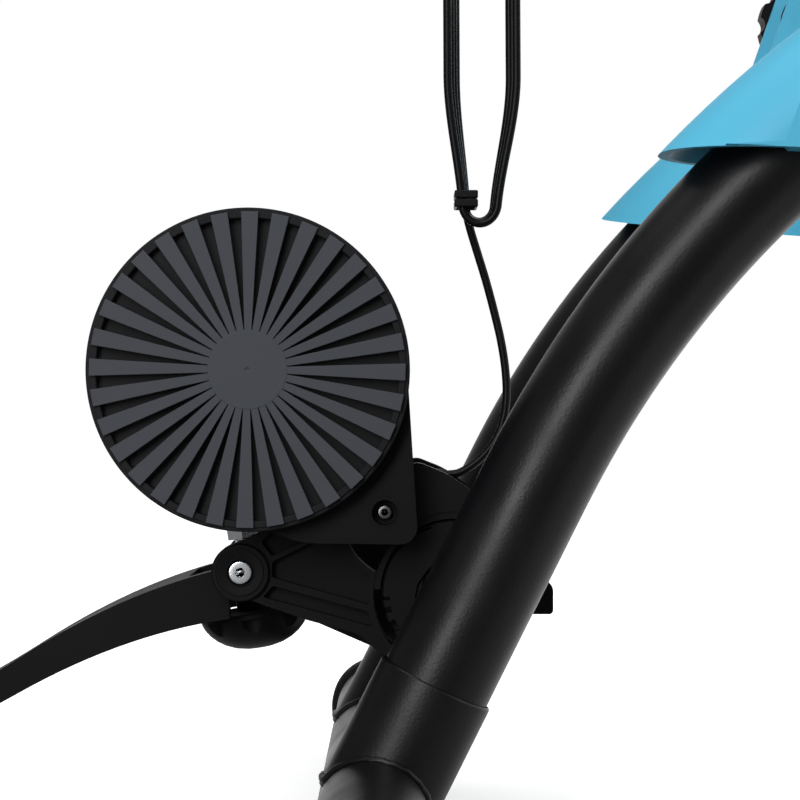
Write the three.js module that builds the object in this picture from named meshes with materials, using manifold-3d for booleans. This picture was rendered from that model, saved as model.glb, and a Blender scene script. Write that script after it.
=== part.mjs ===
// Wheel-on turbo trainer: a folding floor frame of two bent-tube legs that clamps the rear axle of a
// bicycle, and a tilting roller unit with a magnetic brake and a flywheel that the lever presses on it.
// Millimetres. +Z is up and the floor is at zero, +X points to the front of the bicycle, +Y to its left.

import * as THREE from 'three';
import { mergeVertices } from 'three/addons/utils/BufferGeometryUtils.js';
import Module from 'manifold-3d';

const wasm = await Module();
wasm.setup();

// Clearances and facet counts

const fit = 0.3;
const overrun = 2;
const fineSides = 24;
const roundSides = 16;
const tubeSides = 14;
const smallSides = 10;
const screwSides = 8;
const hexSides = 6;
const cordSides = 8;
const cornerSteps = 2;
const halfTurn = Math.PI;
const fullTurn = 2 * Math.PI;
const degree = Math.PI / 180;

// Driving sizes of the frame

const tubeRadius = 25;
const tubeWall = 1.8;
const uprightSpread = 111;
const footBarHalfLength = 264;
const footCapRadius = 28.5;
const rearFootX = -12.3;
const uprightLean = 63.4 * degree;
const uprightFoot = 8;
const uprightStraight = 165;
const uprightBendRadius = 490;
const uprightBendAngle = 26.4 * degree;
const crossbarRadius = 16;
const crossbarWall = 2;
const crossbarHeight = 121;
const crossbarSetBack = 7.2;
const hingeAhead = 45;
const hingeBelow = 18;
const axleAhead = 21;
const axleAbove = 72;

// Driving sizes of the roller unit, as steps from the crossbar and the tilt hinge

const tiltBack = 33;
const tiltUp = 39;
const pivotBack = 101;
const pivotUp = 10;
const rollerBack = 62.4;
const rollerUp = 65.8;
const rollerRadius = 17;
const rollerHalfLength = 33;
const shaftRadius = 6;

// Solids

function bare(geometry) {
  const copy = geometry.clone();
  copy.deleteAttribute('normal');
  if (copy.getAttribute('uv')) copy.deleteAttribute('uv');
  const joined = mergeVertices(copy);
  return volumeOf(joined) < 0 ? turnedOut(joined) : joined;
}

function outward(geometry) {
  const clean = bare(geometry);
  clean.computeVertexNormals();
  return clean;
}

function volumeOf(geometry) {
  const place = geometry.getAttribute('position');
  const order = geometry.getIndex();
  const a = new THREE.Vector3();
  const b = new THREE.Vector3();
  const c = new THREE.Vector3();
  let sum = 0;
  for (let i = 0; i < order.count; i += 3) {
    a.fromBufferAttribute(place, order.getX(i));
    b.fromBufferAttribute(place, order.getX(i + 1));
    c.fromBufferAttribute(place, order.getX(i + 2));
    sum += a.dot(b.cross(c));
  }
  return sum;
}

function turnedOut(geometry) {
  const order = Array.from(geometry.getIndex().array);
  for (let i = 0; i < order.length; i += 3) {
    const kept = order[i];
    order[i] = order[i + 1];
    order[i + 1] = kept;
  }
  geometry.setIndex(order);
  return geometry;
}

function solid(geometry) {
  const clean = bare(geometry);
  const vertProperties = new Float32Array(clean.getAttribute('position').array);
  const triVerts = new Uint32Array(clean.getIndex().array);
  return new wasm.Manifold(new wasm.Mesh({ numProp: 3, vertProperties, triVerts }));
}

function geometryOf(body) {
  const mesh = body.getMesh();
  const geometry = new THREE.BufferGeometry();
  geometry.setAttribute('position', new THREE.BufferAttribute(mesh.vertProperties, 3));
  geometry.setIndex(new THREE.BufferAttribute(mesh.triVerts, 1));
  geometry.computeVertexNormals();
  return geometry;
}

function join(first, ...others) {
  let body = solid(first);
  for (const other of others) body = body.add(solid(other));
  return geometryOf(body);
}

function cut(first, ...others) {
  let body = solid(first);
  for (const other of others) body = body.subtract(solid(other));
  return geometryOf(body);
}

function common(first, second) {
  return geometryOf(solid(first).intersect(solid(second)));
}

function rodY(at, radius, fromY, toY, sides = smallSides) {
  const geometry = new THREE.CylinderGeometry(radius, radius, toY - fromY, sides);
  geometry.translate(at.x, (fromY + toY) / 2, at.z);
  return geometry;
}

function rodBetween(start, end, radius, sides = smallSides, endRadius = radius) {
  const span = new THREE.Vector3().subVectors(end, start);
  const geometry = new THREE.CylinderGeometry(endRadius, radius, span.length(), sides);
  const along = span.clone().normalize();
  const turn = new THREE.Quaternion().setFromUnitVectors(new THREE.Vector3(0, 1, 0), along);
  geometry.applyQuaternion(turn);
  geometry.translate((start.x + end.x) / 2, (start.y + end.y) / 2, (start.z + end.z) / 2);
  return geometry;
}

// A bore's flats, not its corners, lie at its radius, so that a faceted shaft turns in it.
function flats(radius, sides) {
  return radius / Math.cos(halfTurn / sides);
}

function boreY(at, radius, fromY, toY, sides = smallSides) {
  return rodY(at, flats(radius, sides), fromY, toY, sides);
}

function boreBetween(start, end, radius, sides = smallSides) {
  return rodBetween(start, end, flats(radius, sides), sides);
}

function ringY(at, profile, sides = roundSides) {
  const points = profile.map(([radius, y]) => new THREE.Vector2(radius, y));
  points.push(points[0].clone());
  const geometry = new THREE.LatheGeometry(points, sides);
  geometry.translate(at.x, 0, at.z);
  return geometry;
}

function tubeY(at, outer, inner, fromY, toY, sides = roundSides) {
  const bore = flats(inner, sides);
  return ringY(at, [[bore, fromY], [outer, fromY], [outer, toY], [bore, toY]], sides);
}

function plateY(shape, fromY, toY) {
  const geometry = new THREE.ExtrudeGeometry(shape, {
    depth: toY - fromY,
    bevelEnabled: false,
    curveSegments: cornerSteps * 2,
  });
  geometry.rotateX(halfTurn / 2);
  geometry.translate(0, toY, 0);
  return geometry;
}

function outline(corners, radius = 0) {
  const shape = new THREE.Shape();
  const count = corners.length;
  for (let i = 0; i < count; i += 1) {
    const before = new THREE.Vector2(...corners[(i + count - 1) % count]);
    const corner = new THREE.Vector2(...corners[i]);
    const after = new THREE.Vector2(...corners[(i + 1) % count]);
    const reach = Math.min(radius, before.distanceTo(corner) / 2, after.distanceTo(corner) / 2);
    const enter = corner.clone().add(before.clone().sub(corner).setLength(reach));
    const leave = corner.clone().add(after.clone().sub(corner).setLength(reach));
    if (i === 0) shape.moveTo(enter.x, enter.y);
    else shape.lineTo(enter.x, enter.y);
    if (radius > 0) shape.quadraticCurveTo(corner.x, corner.y, leave.x, leave.y);
  }
  return shape;
}

function ringShape(outer, inner, sides) {
  const shape = new THREE.Shape(circlePoints(outer, sides));
  if (inner > 0) shape.holes.push(new THREE.Path(circlePoints(flats(inner, sides), sides).reverse()));
  return shape;
}

function circlePoints(radius, sides) {
  const points = [];
  for (let i = 0; i < sides; i += 1) {
    const angle = (i / sides) * fullTurn;
    points.push(new THREE.Vector2(radius * Math.cos(angle), radius * Math.sin(angle)));
  }
  return points;
}

function sweep(shape, path, steps) {
  return new THREE.ExtrudeGeometry(shape, { steps, bevelEnabled: false, extrudePath: path });
}

function polar(at, radius, angle) {
  return { x: at.x + radius * Math.cos(angle), z: at.z + radius * Math.sin(angle) };
}

function mirrorY(geometry) {
  const copy = geometry.clone();
  copy.scale(1, -1, 1);
  return outward(copy);
}

// Materials

function finish(color, roughness, metalness) {
  return () => new THREE.MeshStandardMaterial({ color, roughness, metalness });
}

const powderBlack = finish(0x111214, 0.5, 0.3);
const mouldedBlack = finish(0x191a1c, 0.62, 0);
const coverGrey = finish(0x303338, 0.6, 0);
const skyBlue = finish(0x45b4dd, 0.5, 0);
const zinc = finish(0xb9bdc0, 0.3, 0.95);
const bareSteel = finish(0x8d9094, 0.35, 0.95);
const castGrey = finish(0x55585c, 0.5, 0.7);
const aluminium = finish(0xa9adb1, 0.35, 0.9);
const softBlack = finish(0x161616, 0.85, 0);

const trainer = new THREE.Group();

function place(name, geometry, material, group = trainer) {
  const mesh = new THREE.Mesh(outward(geometry), material());
  mesh.name = name;
  group.add(mesh);
  return mesh;
}

// Key places in the side view, worked out from the driving sizes

const barHeight = footCapRadius;
const rearFoot = { x: rearFootX, z: barHeight };
const bendStart = polar(rearFoot, uprightStraight, uprightLean);
const bendCentre = {
  x: bendStart.x + uprightBendRadius * Math.sin(uprightLean),
  z: bendStart.z - uprightBendRadius * Math.cos(uprightLean),
};
const uprightTop = arcPoint(uprightBendRadius, uprightLean - uprightBendAngle);
const legHinge = { x: uprightTop.x + hingeAhead, z: uprightTop.z - hingeBelow };
const axle = { x: uprightTop.x + axleAhead, z: uprightTop.z + axleAbove };
const crossbarOnLine = rearFoot.x + (crossbarHeight - barHeight) / Math.tan(uprightLean);
const crossbar = { x: crossbarOnLine - crossbarSetBack / Math.sin(uprightLean), z: crossbarHeight };
const tiltHinge = { x: crossbar.x - tiltBack, z: crossbar.z + tiltUp };
const leverPivot = { x: crossbar.x - pivotBack, z: crossbar.z + pivotUp };
const roller = { x: tiltHinge.x - rollerBack, z: tiltHinge.z + rollerUp };

function arcPoint(radius, lean) {
  return {
    x: bendCentre.x - radius * Math.sin(lean),
    z: bendCentre.z + radius * Math.cos(lean),
  };
}

class BentLine extends THREE.Curve {
  constructor(y, straight, bend, front) {
    super();
    this.y = y;
    this.straight = straight;
    this.bend = bend;
    this.front = front;
  }

  getPoint(share, target = new THREE.Vector3()) {
    const total = this.straight + uprightBendRadius * this.bend;
    const run = uprightFoot + share * (total - uprightFoot);
    const onArc = Math.max(run - this.straight, 0) / uprightBendRadius;
    const at = run < this.straight
      ? polar(bendStart, run - this.straight, uprightLean)
      : arcPoint(uprightBendRadius, uprightLean - onArc);
    return target.set(this.front ? 2 * legHinge.x - at.x : at.x, this.y, at.z);
  }
}

function mirrorX(at) {
  return { x: 2 * legHinge.x - at.x, z: at.z };
}

// Floor frame: two floor bars with end caps, four bent uprights in sockets, and the unit crossbar

const footCap = { length: 18.5, plug: 22, wall: 3, chamfer: 3 };
const socket = { wall: 1.6, length: 64 };
const uprightSteps = 7;

// Floor bar with the two welded sockets that the uprights stand in.
function footBar(front) {
  const foot = front ? mirrorX(rearFoot) : rearFoot;
  const end = polar(rearFoot, socket.length, uprightLean);
  const top = front ? mirrorX(end) : end;
  let bar = rodY(foot, tubeRadius, -footBarHalfLength, footBarHalfLength, tubeSides);
  const bores = [];
  for (const side of [-1, 1]) {
    const start = new THREE.Vector3(foot.x, side * uprightSpread, foot.z);
    const mouth = new THREE.Vector3(top.x, side * uprightSpread, top.z);
    const past = mouth.clone().add(mouth.clone().sub(start).setLength(overrun));
    bar = join(bar, rodBetween(start, mouth, tubeRadius + fit + socket.wall, roundSides));
    const reach = tubeRadius + socket.wall + overrun;
    const inBar = rodY(foot, tubeRadius + fit / 2, start.y - reach, start.y + reach, tubeSides);
    const boreStart = start.clone().add(mouth.clone().sub(start).setLength(uprightFoot - overrun));
    bores.push(cut(boreBetween(boreStart, past, tubeRadius + fit, roundSides), inBar));
  }
  const hollow = boreY(
    foot,
    tubeRadius - tubeWall,
    -footBarHalfLength - overrun,
    footBarHalfLength + overrun,
    tubeSides,
  );
  return cut(bar, hollow, ...bores);
}

// Rubber end cap, turned so that one of its flats meets the floor.
function footEnd(at, side) {
  const inner = tubeRadius - tubeWall - fit;
  const outer = flats(footCapRadius, tubeSides);
  const seat = footBarHalfLength + fit;
  const end = seat + footCap.length;
  const profile = [
    [0, seat - footCap.plug],
    [inner, seat - footCap.plug],
    [inner, seat],
    [outer, seat],
    [outer, end - footCap.chamfer],
    [outer - footCap.chamfer, end],
    [0, end],
  ];
  const cap = ringY({ x: 0, z: 0 }, profile, tubeSides);
  cap.rotateY(halfTurn / tubeSides);
  cap.translate(at.x, 0, at.z);
  return side < 0 ? mirrorY(cap) : cap;
}

function upright(y, front) {
  const path = new BentLine(y, uprightStraight, uprightBendAngle, front);
  const foot = front ? mirrorX(rearFoot) : rearFoot;
  const tube = sweep(ringShape(tubeRadius, tubeRadius - tubeWall, tubeSides), path, uprightSteps);
  const bar = boreY(foot, tubeRadius + fit, y - tubeRadius - overrun, y + tubeRadius + overrun, roundSides);
  return cut(tube, bar);
}

function unitCrossbar() {
  const reach = uprightSpread;
  const bar = tubeY(crossbar, crossbarRadius, crossbarRadius - crossbarWall, -reach, reach, roundSides);
  const posts = [-1, 1].map((side) => sweep(
    ringShape(flats(tubeRadius + fit, tubeSides), 0, tubeSides),
    new BentLine(side * uprightSpread, uprightStraight, uprightBendAngle, false),
    uprightSteps,
  ));
  return cut(bar, ...posts, boltBore(-1, saddle.bolt + fit), boltBore(1, saddle.bolt + fit));
}

for (const [word, front] of [['rear', false], ['front', true]]) {
  const foot = front ? mirrorX(rearFoot) : rearFoot;
  place(`${word}_floor_bar`, footBar(front), powderBlack);
  for (const [hand, side] of [['right', -1], ['left', 1]]) {
    place(`${hand}_${word}_foot_cap`, footEnd(foot, side), softBlack);
    place(`${hand}_${word}_upright`, upright(side * uprightSpread, front), powderBlack);
  }
}

// Hinge shrouds: open-bottomed blue shells on the rear uprights that carry the leg hinge and the axle clamp

const shroud = {
  outerY: 150,
  innerY: 77,
  wall: 3.7,
  behind: 40,
  ahead: 62,
  corner: 20,
  edge: 5,
  rightMouth: 322.5,
  leftMouth: 303,
  socketDepth: 44,
  hold: 29,
  axleBoss: 23,
  pinBoss: 19,
  earWall: 5,
  saddleGap: 6,
};
const barrel = { radius: 16, end: 3 };
const pin = { radius: 6, head: 10, headThick: 3 };
const knuckle = { wall: 4, side: 32, behind: 31, ahead: 30, length: 88, boss: 18, corner: 12 };

function sleeveShape(inset, behind, ahead, low, high, corner, edge) {
  const shape = new THREE.Shape();
  const top = behind - inset;
  const bottom = -(ahead - inset);
  const left = low + inset;
  const right = high - inset;
  const round = Math.max(corner - inset, edge);
  shape.moveTo(bottom, left);
  shape.lineTo(top - round, left);
  shape.quadraticCurveTo(top, left, top, left + round);
  shape.lineTo(top, right - round);
  shape.quadraticCurveTo(top, right, top - round, right);
  shape.lineTo(bottom, right);
  return shape;
}

// A section swept along the tube's bend: x of the shape points away from the bend's centre, y points to +Y.
function sweptAlongBend(shape, fromLean, toLean, steps, front) {
  const points = shape.getPoints(cornerSteps + 1);
  if (points[0].distanceTo(points[points.length - 1]) < fit) points.pop();
  const positions = [];
  const faces = [];
  const count = points.length;
  for (let i = 0; i <= steps; i += 1) {
    const lean = fromLean + ((toLean - fromLean) * i) / steps;
    for (const point of points) {
      const at = arcPoint(uprightBendRadius + point.x, lean);
      positions.push(front ? 2 * legHinge.x - at.x : at.x, point.y, at.z);
    }
  }
  for (let i = 0; i < steps; i += 1) {
    for (let j = 0; j < count; j += 1) {
      const here = i * count + j;
      const next = i * count + ((j + 1) % count);
      faces.push(here, next, here + count, next, next + count, here + count);
    }
  }
  const caps = THREE.ShapeUtils.triangulateShape(points, []);
  for (const [a, b, c] of caps) {
    faces.push(c, b, a);
    faces.push(a + steps * count, b + steps * count, c + steps * count);
  }
  const geometry = new THREE.BufferGeometry();
  geometry.setAttribute('position', new THREE.Float32BufferAttribute(positions, 3));
  geometry.setIndex(faces);
  geometry.computeVertexNormals();
  return geometry;
}

function leanAtHeight(radius, height) {
  return Math.acos((height - bendCentre.z) / radius);
}

function earShape(mouth) {
  const shape = new THREE.Shape();
  const rearLean = leanAtHeight(uprightBendRadius + shroud.behind, mouth);
  const shoulder = arcPoint(uprightBendRadius + shroud.behind, uprightLean - uprightBendAngle + socketBack);
  const mouthRear = arcPoint(uprightBendRadius + shroud.behind - shroud.corner, rearLean);
  const bossRear = polar(axle, shroud.axleBoss, 140 * degree);
  shape.moveTo(mouthRear.x, mouth);
  shape.lineTo(shoulder.x, shoulder.z);
  shape.lineTo(bossRear.x, bossRear.z);
  shape.absarc(axle.x, axle.z, shroud.axleBoss, 140 * degree, -5 * degree, true);
  shape.absarc(legHinge.x, legHinge.z, shroud.pinBoss, 8 * degree, -95 * degree, true);
  shape.lineTo(legHinge.x - shroud.pinBoss, Math.min(mouth, legHinge.z - shroud.pinBoss / 2));
  return shape;
}

const socketBack = shroud.socketDepth / uprightBendRadius;

// The open bay ahead of the rear tube, where the knuckle of the front leg turns.
function bayShape(low, high) {
  const shape = new THREE.Shape();
  shape.moveTo(-shroud.ahead * 2, low);
  shape.lineTo(-shroud.hold, low);
  shape.lineTo(-shroud.hold, high);
  shape.lineTo(-shroud.ahead * 2, high);
  return shape;
}

function hingeShroud(side, mouth) {
  const topLean = uprightLean - uprightBendAngle;
  const lowLean = uprightLean - fit / uprightBendRadius;
  const endLean = topLean - shroud.saddleGap / uprightBendRadius;
  const blockLean = topLean + socketBack;
  const steps = 5;
  const low = shroud.innerY;
  const high = shroud.outerY;
  const { wall, behind, ahead: reach, corner, edge } = shroud;
  const skinShape = sleeveShape(0, behind, reach, low, high, corner, edge);
  const roomShape = sleeveShape(wall, behind, reach * 2, low, high, corner, edge);
  const skin = sweptAlongBend(skinShape, lowLean, endLean, steps, false);
  const room = sweptAlongBend(roomShape, lowLean + socketBack, blockLean, steps, false);
  const openBay = bayShape(low + wall, high - wall);
  const bay = sweptAlongBend(openBay, lowLean + socketBack, endLean - socketBack, steps, false);
  const below = new THREE.BoxGeometry(uprightBendRadius, high * 2, mouth * 2);
  below.translate(legHinge.x, high, 0);
  const ahead = new THREE.BoxGeometry(uprightBendRadius, high * 2, mouth * 2);
  ahead.translate(legHinge.x - pin.radius + uprightBendRadius / 2, high, mouth);
  const ears = [
    plateY(earShape(mouth), low, low + shroud.wall),
    plateY(earShape(mouth), high - shroud.earWall, high),
  ];
  const tube = sweep(
    ringShape(flats(tubeRadius + fit, tubeSides), 0, tubeSides),
    new BentLine(uprightSpread, uprightStraight, uprightBendAngle + fit / uprightBendRadius, false),
    uprightSteps,
  );
  const sweepRoom = boreY(legHinge, knuckle.boss + overrun, low + wall, high - shroud.earWall, roundSides);
  const axleBore = boreY(axle, barrel.radius + fit, low - overrun, high + overrun, roundSides);
  const pinBore = boreY(legHinge, pin.radius + fit, low - overrun, high + overrun);
  const shell = join(cut(skin, room, bay, below, ahead), ...ears);
  const done = cut(shell, tube, sweepRoom, axleBore, pinBore);
  return side < 0 ? mirrorY(done) : done;
}

function hingePin(side) {
  const low = shroud.innerY - fit - pin.headThick;
  const high = shroud.outerY + fit + pin.headThick;
  const profile = [
    [0, low],
    [pin.head, low],
    [pin.head, low + pin.headThick],
    [pin.radius, low + pin.headThick],
    [pin.radius, high - pin.headThick],
    [pin.head, high - pin.headThick],
    [pin.head, high],
    [0, high],
  ];
  const geometry = ringY(legHinge, profile, smallSides);
  return side < 0 ? mirrorY(geometry) : geometry;
}

function legKnuckle(side) {
  const topLean = uprightLean - uprightBendAngle;
  const centreY = uprightSpread;
  const low = centreY - tubeRadius - knuckle.wall;
  const high = centreY + knuckle.side;
  const shape = sleeveShape(0, knuckle.behind, knuckle.ahead, low, high, knuckle.corner, knuckle.corner);
  const footLean = topLean + knuckle.length / uprightBendRadius;
  const sleeve = sweptAlongBend(shape, footLean, topLean, cornerSteps * 2, true);
  const boss = rodY(legHinge, knuckle.boss, low, high, roundSides);
  const webEnd = mirrorX(arcPoint(uprightBendRadius + knuckle.behind, topLean));
  const webLow = mirrorX(arcPoint(uprightBendRadius - knuckle.ahead, topLean));
  const web = plateY(outline([
    [legHinge.x, legHinge.z + knuckle.boss - fit],
    [legHinge.x, legHinge.z - knuckle.boss + fit],
    [webLow.x + overrun, webLow.z],
    [webEnd.x + overrun, webEnd.z - overrun],
  ]), low, high);
  const tube = sweep(
    ringShape(flats(tubeRadius + fit, tubeSides), 0, tubeSides),
    new BentLine(centreY, uprightStraight, uprightBendAngle + fit / uprightBendRadius, true),
    uprightSteps,
  );
  const bore = boreY(legHinge, pin.radius + fit, low - overrun, high + overrun);
  const done = cut(join(sleeve, boss, web), tube, bore);
  return side < 0 ? mirrorY(done) : done;
}

place('right_hinge_shroud', hingeShroud(-1, shroud.rightMouth), skyBlue);
place('left_hinge_shroud', hingeShroud(1, shroud.leftMouth), skyBlue);
for (const [hand, side] of [['right', -1], ['left', 1]]) {
  place(`${hand}_hinge_pin`, hingePin(side), zinc);
  place(`${hand}_leg_knuckle`, legKnuckle(side), skyBlue);
}

// Axle clamps: on the right a cup pushed by a cam lever, on the left a cup fed by an adjusting wheel

const cup = {
  rodRadius: 12,
  socket: 8.5,
  socketDepth: 10,
  rightFront: 66,
  leftFront: 68,
  rodOut: 173,
};
const quickLever = {
  pinY: 166,
  pinRadius: 3.5,
  cheek: 5,
  cam: 12.5,
  length: 92,
  slot: 14.5,
  thick: 9,
  kick: 10,
};
const wheelNut = { radius: 26, length: 17, scallops: 10, scallop: 5, rodOut: 184 };

function clampBarrel(side) {
  const low = shroud.innerY - fit;
  const high = shroud.outerY + barrel.end;
  const bore = cup.rodRadius + fit;
  const geometry = tubeY(axle, barrel.radius, bore, low, high, roundSides);
  return side < 0 ? mirrorY(geometry) : geometry;
}

function axleCup(side, front, rodEnd) {
  const profile = [
    [0, front + cup.socketDepth],
    [cup.socket, front + cup.socketDepth],
    [cup.socket, front],
    [cup.rodRadius, front],
    [cup.rodRadius, rodEnd],
    [0, rodEnd],
  ];
  const geometry = ringY(axle, profile, roundSides);
  return side < 0 ? mirrorY(geometry) : geometry;
}

function quickReleaseLever() {
  const inner = cup.rodRadius + fit;
  const outer = inner + quickLever.cheek;
  const pivot = { y: -quickLever.pinY, z: axle.z };
  const shape = new THREE.Shape();
  shape.absarc(0, 0, quickLever.cam, 0, fullTurn, false);
  const depth = outer * 2;
  const cam = new THREE.ExtrudeGeometry(shape, { depth, bevelEnabled: false, curveSegments: screwSides });
  cam.rotateY(halfTurn / 2);
  cam.translate(axle.x - outer, pivot.y, pivot.z);
  const arm = outline([
    [pivot.y - quickLever.cam, pivot.z],
    [pivot.y - quickLever.kick - quickLever.thick, pivot.z - quickLever.length],
    [pivot.y - quickLever.kick, pivot.z - quickLever.length],
    [pivot.y + quickLever.thick / 2, pivot.z - quickLever.cam],
  ], quickLever.thick / 3);
  const blade = new THREE.ExtrudeGeometry(arm, {
    depth: outer * 2,
    bevelEnabled: false,
    curveSegments: cornerSteps,
  });
  blade.applyMatrix4(new THREE.Matrix4().makeBasis(
    new THREE.Vector3(0, 1, 0),
    new THREE.Vector3(0, 0, 1),
    new THREE.Vector3(1, 0, 0),
  ));
  blade.translate(axle.x - outer, 0, 0);
  const reach = quickLever.cam + overrun;
  const room = new THREE.BoxGeometry(inner * 2, reach * 2, reach + quickLever.slot);
  room.translate(axle.x, pivot.y, pivot.z + (reach - quickLever.slot) / 2);
  const pinHole = boreBetween(
    new THREE.Vector3(axle.x - outer - overrun, pivot.y, pivot.z),
    new THREE.Vector3(axle.x + outer + overrun, pivot.y, pivot.z),
    quickLever.pinRadius + fit,
  );
  return cut(join(cam, blade), room, pinHole);
}

function quickReleasePin() {
  const reach = cup.rodRadius + quickLever.cheek + fit * 2;
  return rodBetween(
    new THREE.Vector3(axle.x - reach, -quickLever.pinY, axle.z),
    new THREE.Vector3(axle.x + reach, -quickLever.pinY, axle.z),
    quickLever.pinRadius,
  );
}

function adjustingWheel() {
  const low = shroud.outerY + barrel.end + fit;
  const high = low + wheelNut.length;
  let wheel = tubeY(axle, wheelNut.radius, cup.rodRadius + fit, low, high, roundSides);
  for (let i = 0; i < wheelNut.scallops; i += 1) {
    const at = polar(axle, wheelNut.radius + wheelNut.scallop / 2, (i / wheelNut.scallops) * fullTurn);
    wheel = cut(wheel, rodY(at, wheelNut.scallop, low - overrun, high + overrun, screwSides));
  }
  return wheel;
}

const rightCup = cut(axleCup(-1, cup.rightFront, cup.rodOut), boreBetween(
  new THREE.Vector3(axle.x - cup.rodRadius - overrun, -quickLever.pinY, axle.z),
  new THREE.Vector3(axle.x + cup.rodRadius + overrun, -quickLever.pinY, axle.z),
  quickLever.pinRadius + fit,
));
place('right_clamp_barrel', clampBarrel(-1), powderBlack);
place('left_clamp_barrel', clampBarrel(1), powderBlack);
place('right_axle_cup', rightCup, bareSteel);
place('left_axle_cup', axleCup(1, cup.leftFront, wheelNut.rodOut), bareSteel);
place('quick_release_lever', quickReleaseLever(), mouldedBlack);
place('quick_release_pin', quickReleasePin(), zinc);
place('left_adjusting_wheel', adjustingWheel(), mouldedBlack);

// Unit bracket: a notched saddle clamped on the crossbar, and two ribbed arms that swing on its ends

const saddle = {
  sleeve: 20,
  disc: 34.4,
  rimY: 57,
  discThick: 7,
  notch: 5,
  notchDepth: 3.5,
  notchCount: 3,
  notchFirst: 187 * degree,
  notchStep: 9.5 * degree,
  split: 1.2,
  boltY: 32,
  bolt: 4,
  boltHead: 7,
  boltHeadThick: 4,
  housing: 20,
  housingTop: 5,
  housingLow: 11,
  housingReach: 47,
  housingRound: 4,
};
const arm = {
  outerY: 57,
  innerY: 43,
  slit: 0.9,
  slotOuter: 38.5,
  slotFrom: 172 * degree,
  slotTo: 222 * degree,
  collar: 41.5,
  collarAhead: 37.5,
  pivotBoss: 13.6,
  pivotWell: 6.3,
  pivotRecess: 2.6,
  bossProud: 2.5,
  edge: 2.4,
  pocket: 5,
};
const armCorners = {
  bossFrom: 100 * degree,
  bossTo: 290 * degree,
  collarFrom: 236 * degree,
  collarTo: 425 * degree,
  trimFrom: 280 * degree,
  trimTo: 395 * degree,
  crown: 27,
  brow: 15,
  windowRear: 30,
  windowTop: 20,
  pocketHigh: 39,
};
const headNear = 59.5;

function saddleSolid() {
  const barEnd = saddle.rimY + overrun;
  const barBore = boreY(crossbar, crossbarRadius + fit, -barEnd, barEnd, roundSides);
  const innerFace = saddle.rimY - saddle.discThick;
  const profile = [
    [crossbarRadius, -saddle.rimY],
    [saddle.disc, -saddle.rimY],
    [saddle.disc, -innerFace],
    [saddle.sleeve, -innerFace],
    [saddle.sleeve, innerFace],
    [saddle.disc, innerFace],
    [saddle.disc, saddle.rimY],
    [crossbarRadius, saddle.rimY],
  ];
  let body = cut(ringY(crossbar, profile, fineSides), barBore);
  for (let i = 0; i < saddle.notchCount; i += 1) {
    const at = polar(crossbar, saddle.disc, saddle.notchFirst + i * saddle.notchStep);
    const notch = new THREE.BoxGeometry(saddle.notchDepth * 2, saddle.rimY * 3, saddle.notch);
    notch.rotateY(-(saddle.notchFirst + i * saddle.notchStep));
    notch.translate(at.x, 0, at.z);
    body = cut(body, notch);
  }
  return body;
}

function halfSpace(forward) {
  const size = saddle.disc * 4;
  const box = new THREE.BoxGeometry(size, size * 3, size);
  const shift = size / 2 + saddle.split / 2;
  box.translate(crossbar.x + (forward ? shift : -shift), 0, crossbar.z);
  return box;
}

// The nut housings that stand forward on the cap, one at each clamp bolt.
function nutHousing(side) {
  const low = side * saddle.boltY - saddle.housing / 2;
  const shape = outline([
    [crossbar.x + saddle.sleeve / 2, crossbar.z + saddle.housingTop],
    [crossbar.x + saddle.sleeve / 2, crossbar.z - saddle.housingLow],
    [crossbar.x + saddle.housingReach, crossbar.z - saddle.housingLow],
    [crossbar.x + saddle.housingReach, crossbar.z + saddle.housingTop],
  ], saddle.housingRound);
  return plateY(shape, low, low + saddle.housing);
}

function boltBore(side, radius) {
  const reach = saddle.housingReach * 2;
  const height = crossbar.z + (saddle.housingTop - saddle.housingLow) / 2;
  return boreBetween(
    new THREE.Vector3(crossbar.x - reach, side * saddle.boltY, height),
    new THREE.Vector3(crossbar.x + reach, side * saddle.boltY, height),
    radius,
  );
}

function saddleHalf(forward) {
  const barEnd = saddle.rimY + overrun;
  const barBore = boreY(crossbar, crossbarRadius + fit, -barEnd, barEnd, roundSides);
  const half = common(saddleSolid(), halfSpace(forward));
  const whole = forward ? join(half, nutHousing(-1), nutHousing(1)) : half;
  const boltRoom = saddle.bolt + fit;
  return cut(whole, barBore, boltBore(-1, boltRoom), boltBore(1, boltRoom));
}

function clampBolt(side) {
  const height = crossbar.z + (saddle.housingTop - saddle.housingLow) / 2;
  const at = (x) => new THREE.Vector3(x, side * saddle.boltY, height);
  const seat = crossbar.x - saddle.sleeve - fit;
  const tip = crossbar.x + saddle.housingReach - saddle.bolt;
  const shank = rodBetween(at(seat - saddle.boltHeadThick), at(tip), saddle.bolt);
  const head = rodBetween(at(seat - saddle.boltHeadThick), at(seat), saddle.boltHead);
  return join(shank, head);
}

// The arm's side outline, from the lever boss round by the lower edge, the crossbar and the upper corner.
function armOutline() {
  const steps = 8;
  const corners = [];
  const { bossFrom, bossTo, collarFrom, collarTo, trimFrom, trimTo } = armCorners;
  for (let i = 0; i <= steps; i += 1) {
    const at = polar(leverPivot, arm.pivotBoss, bossFrom + ((bossTo - bossFrom) * i) / steps);
    corners.push([at.x, at.z]);
  }
  for (let i = 0; i <= steps; i += 1) {
    const angle = collarFrom + ((collarTo - collarFrom) * i) / steps;
    const reach = angle > trimFrom && angle < trimTo ? arm.collarAhead : arm.collar;
    const at = polar(crossbar, reach, angle);
    corners.push([at.x, at.z]);
  }
  const crown = polar(tiltHinge, armCorners.crown, 55 * degree);
  const brow = polar(tiltHinge, armCorners.brow, 120 * degree);
  corners.push([crown.x, crown.z], [brow.x, brow.z]);
  return corners;
}

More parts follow.
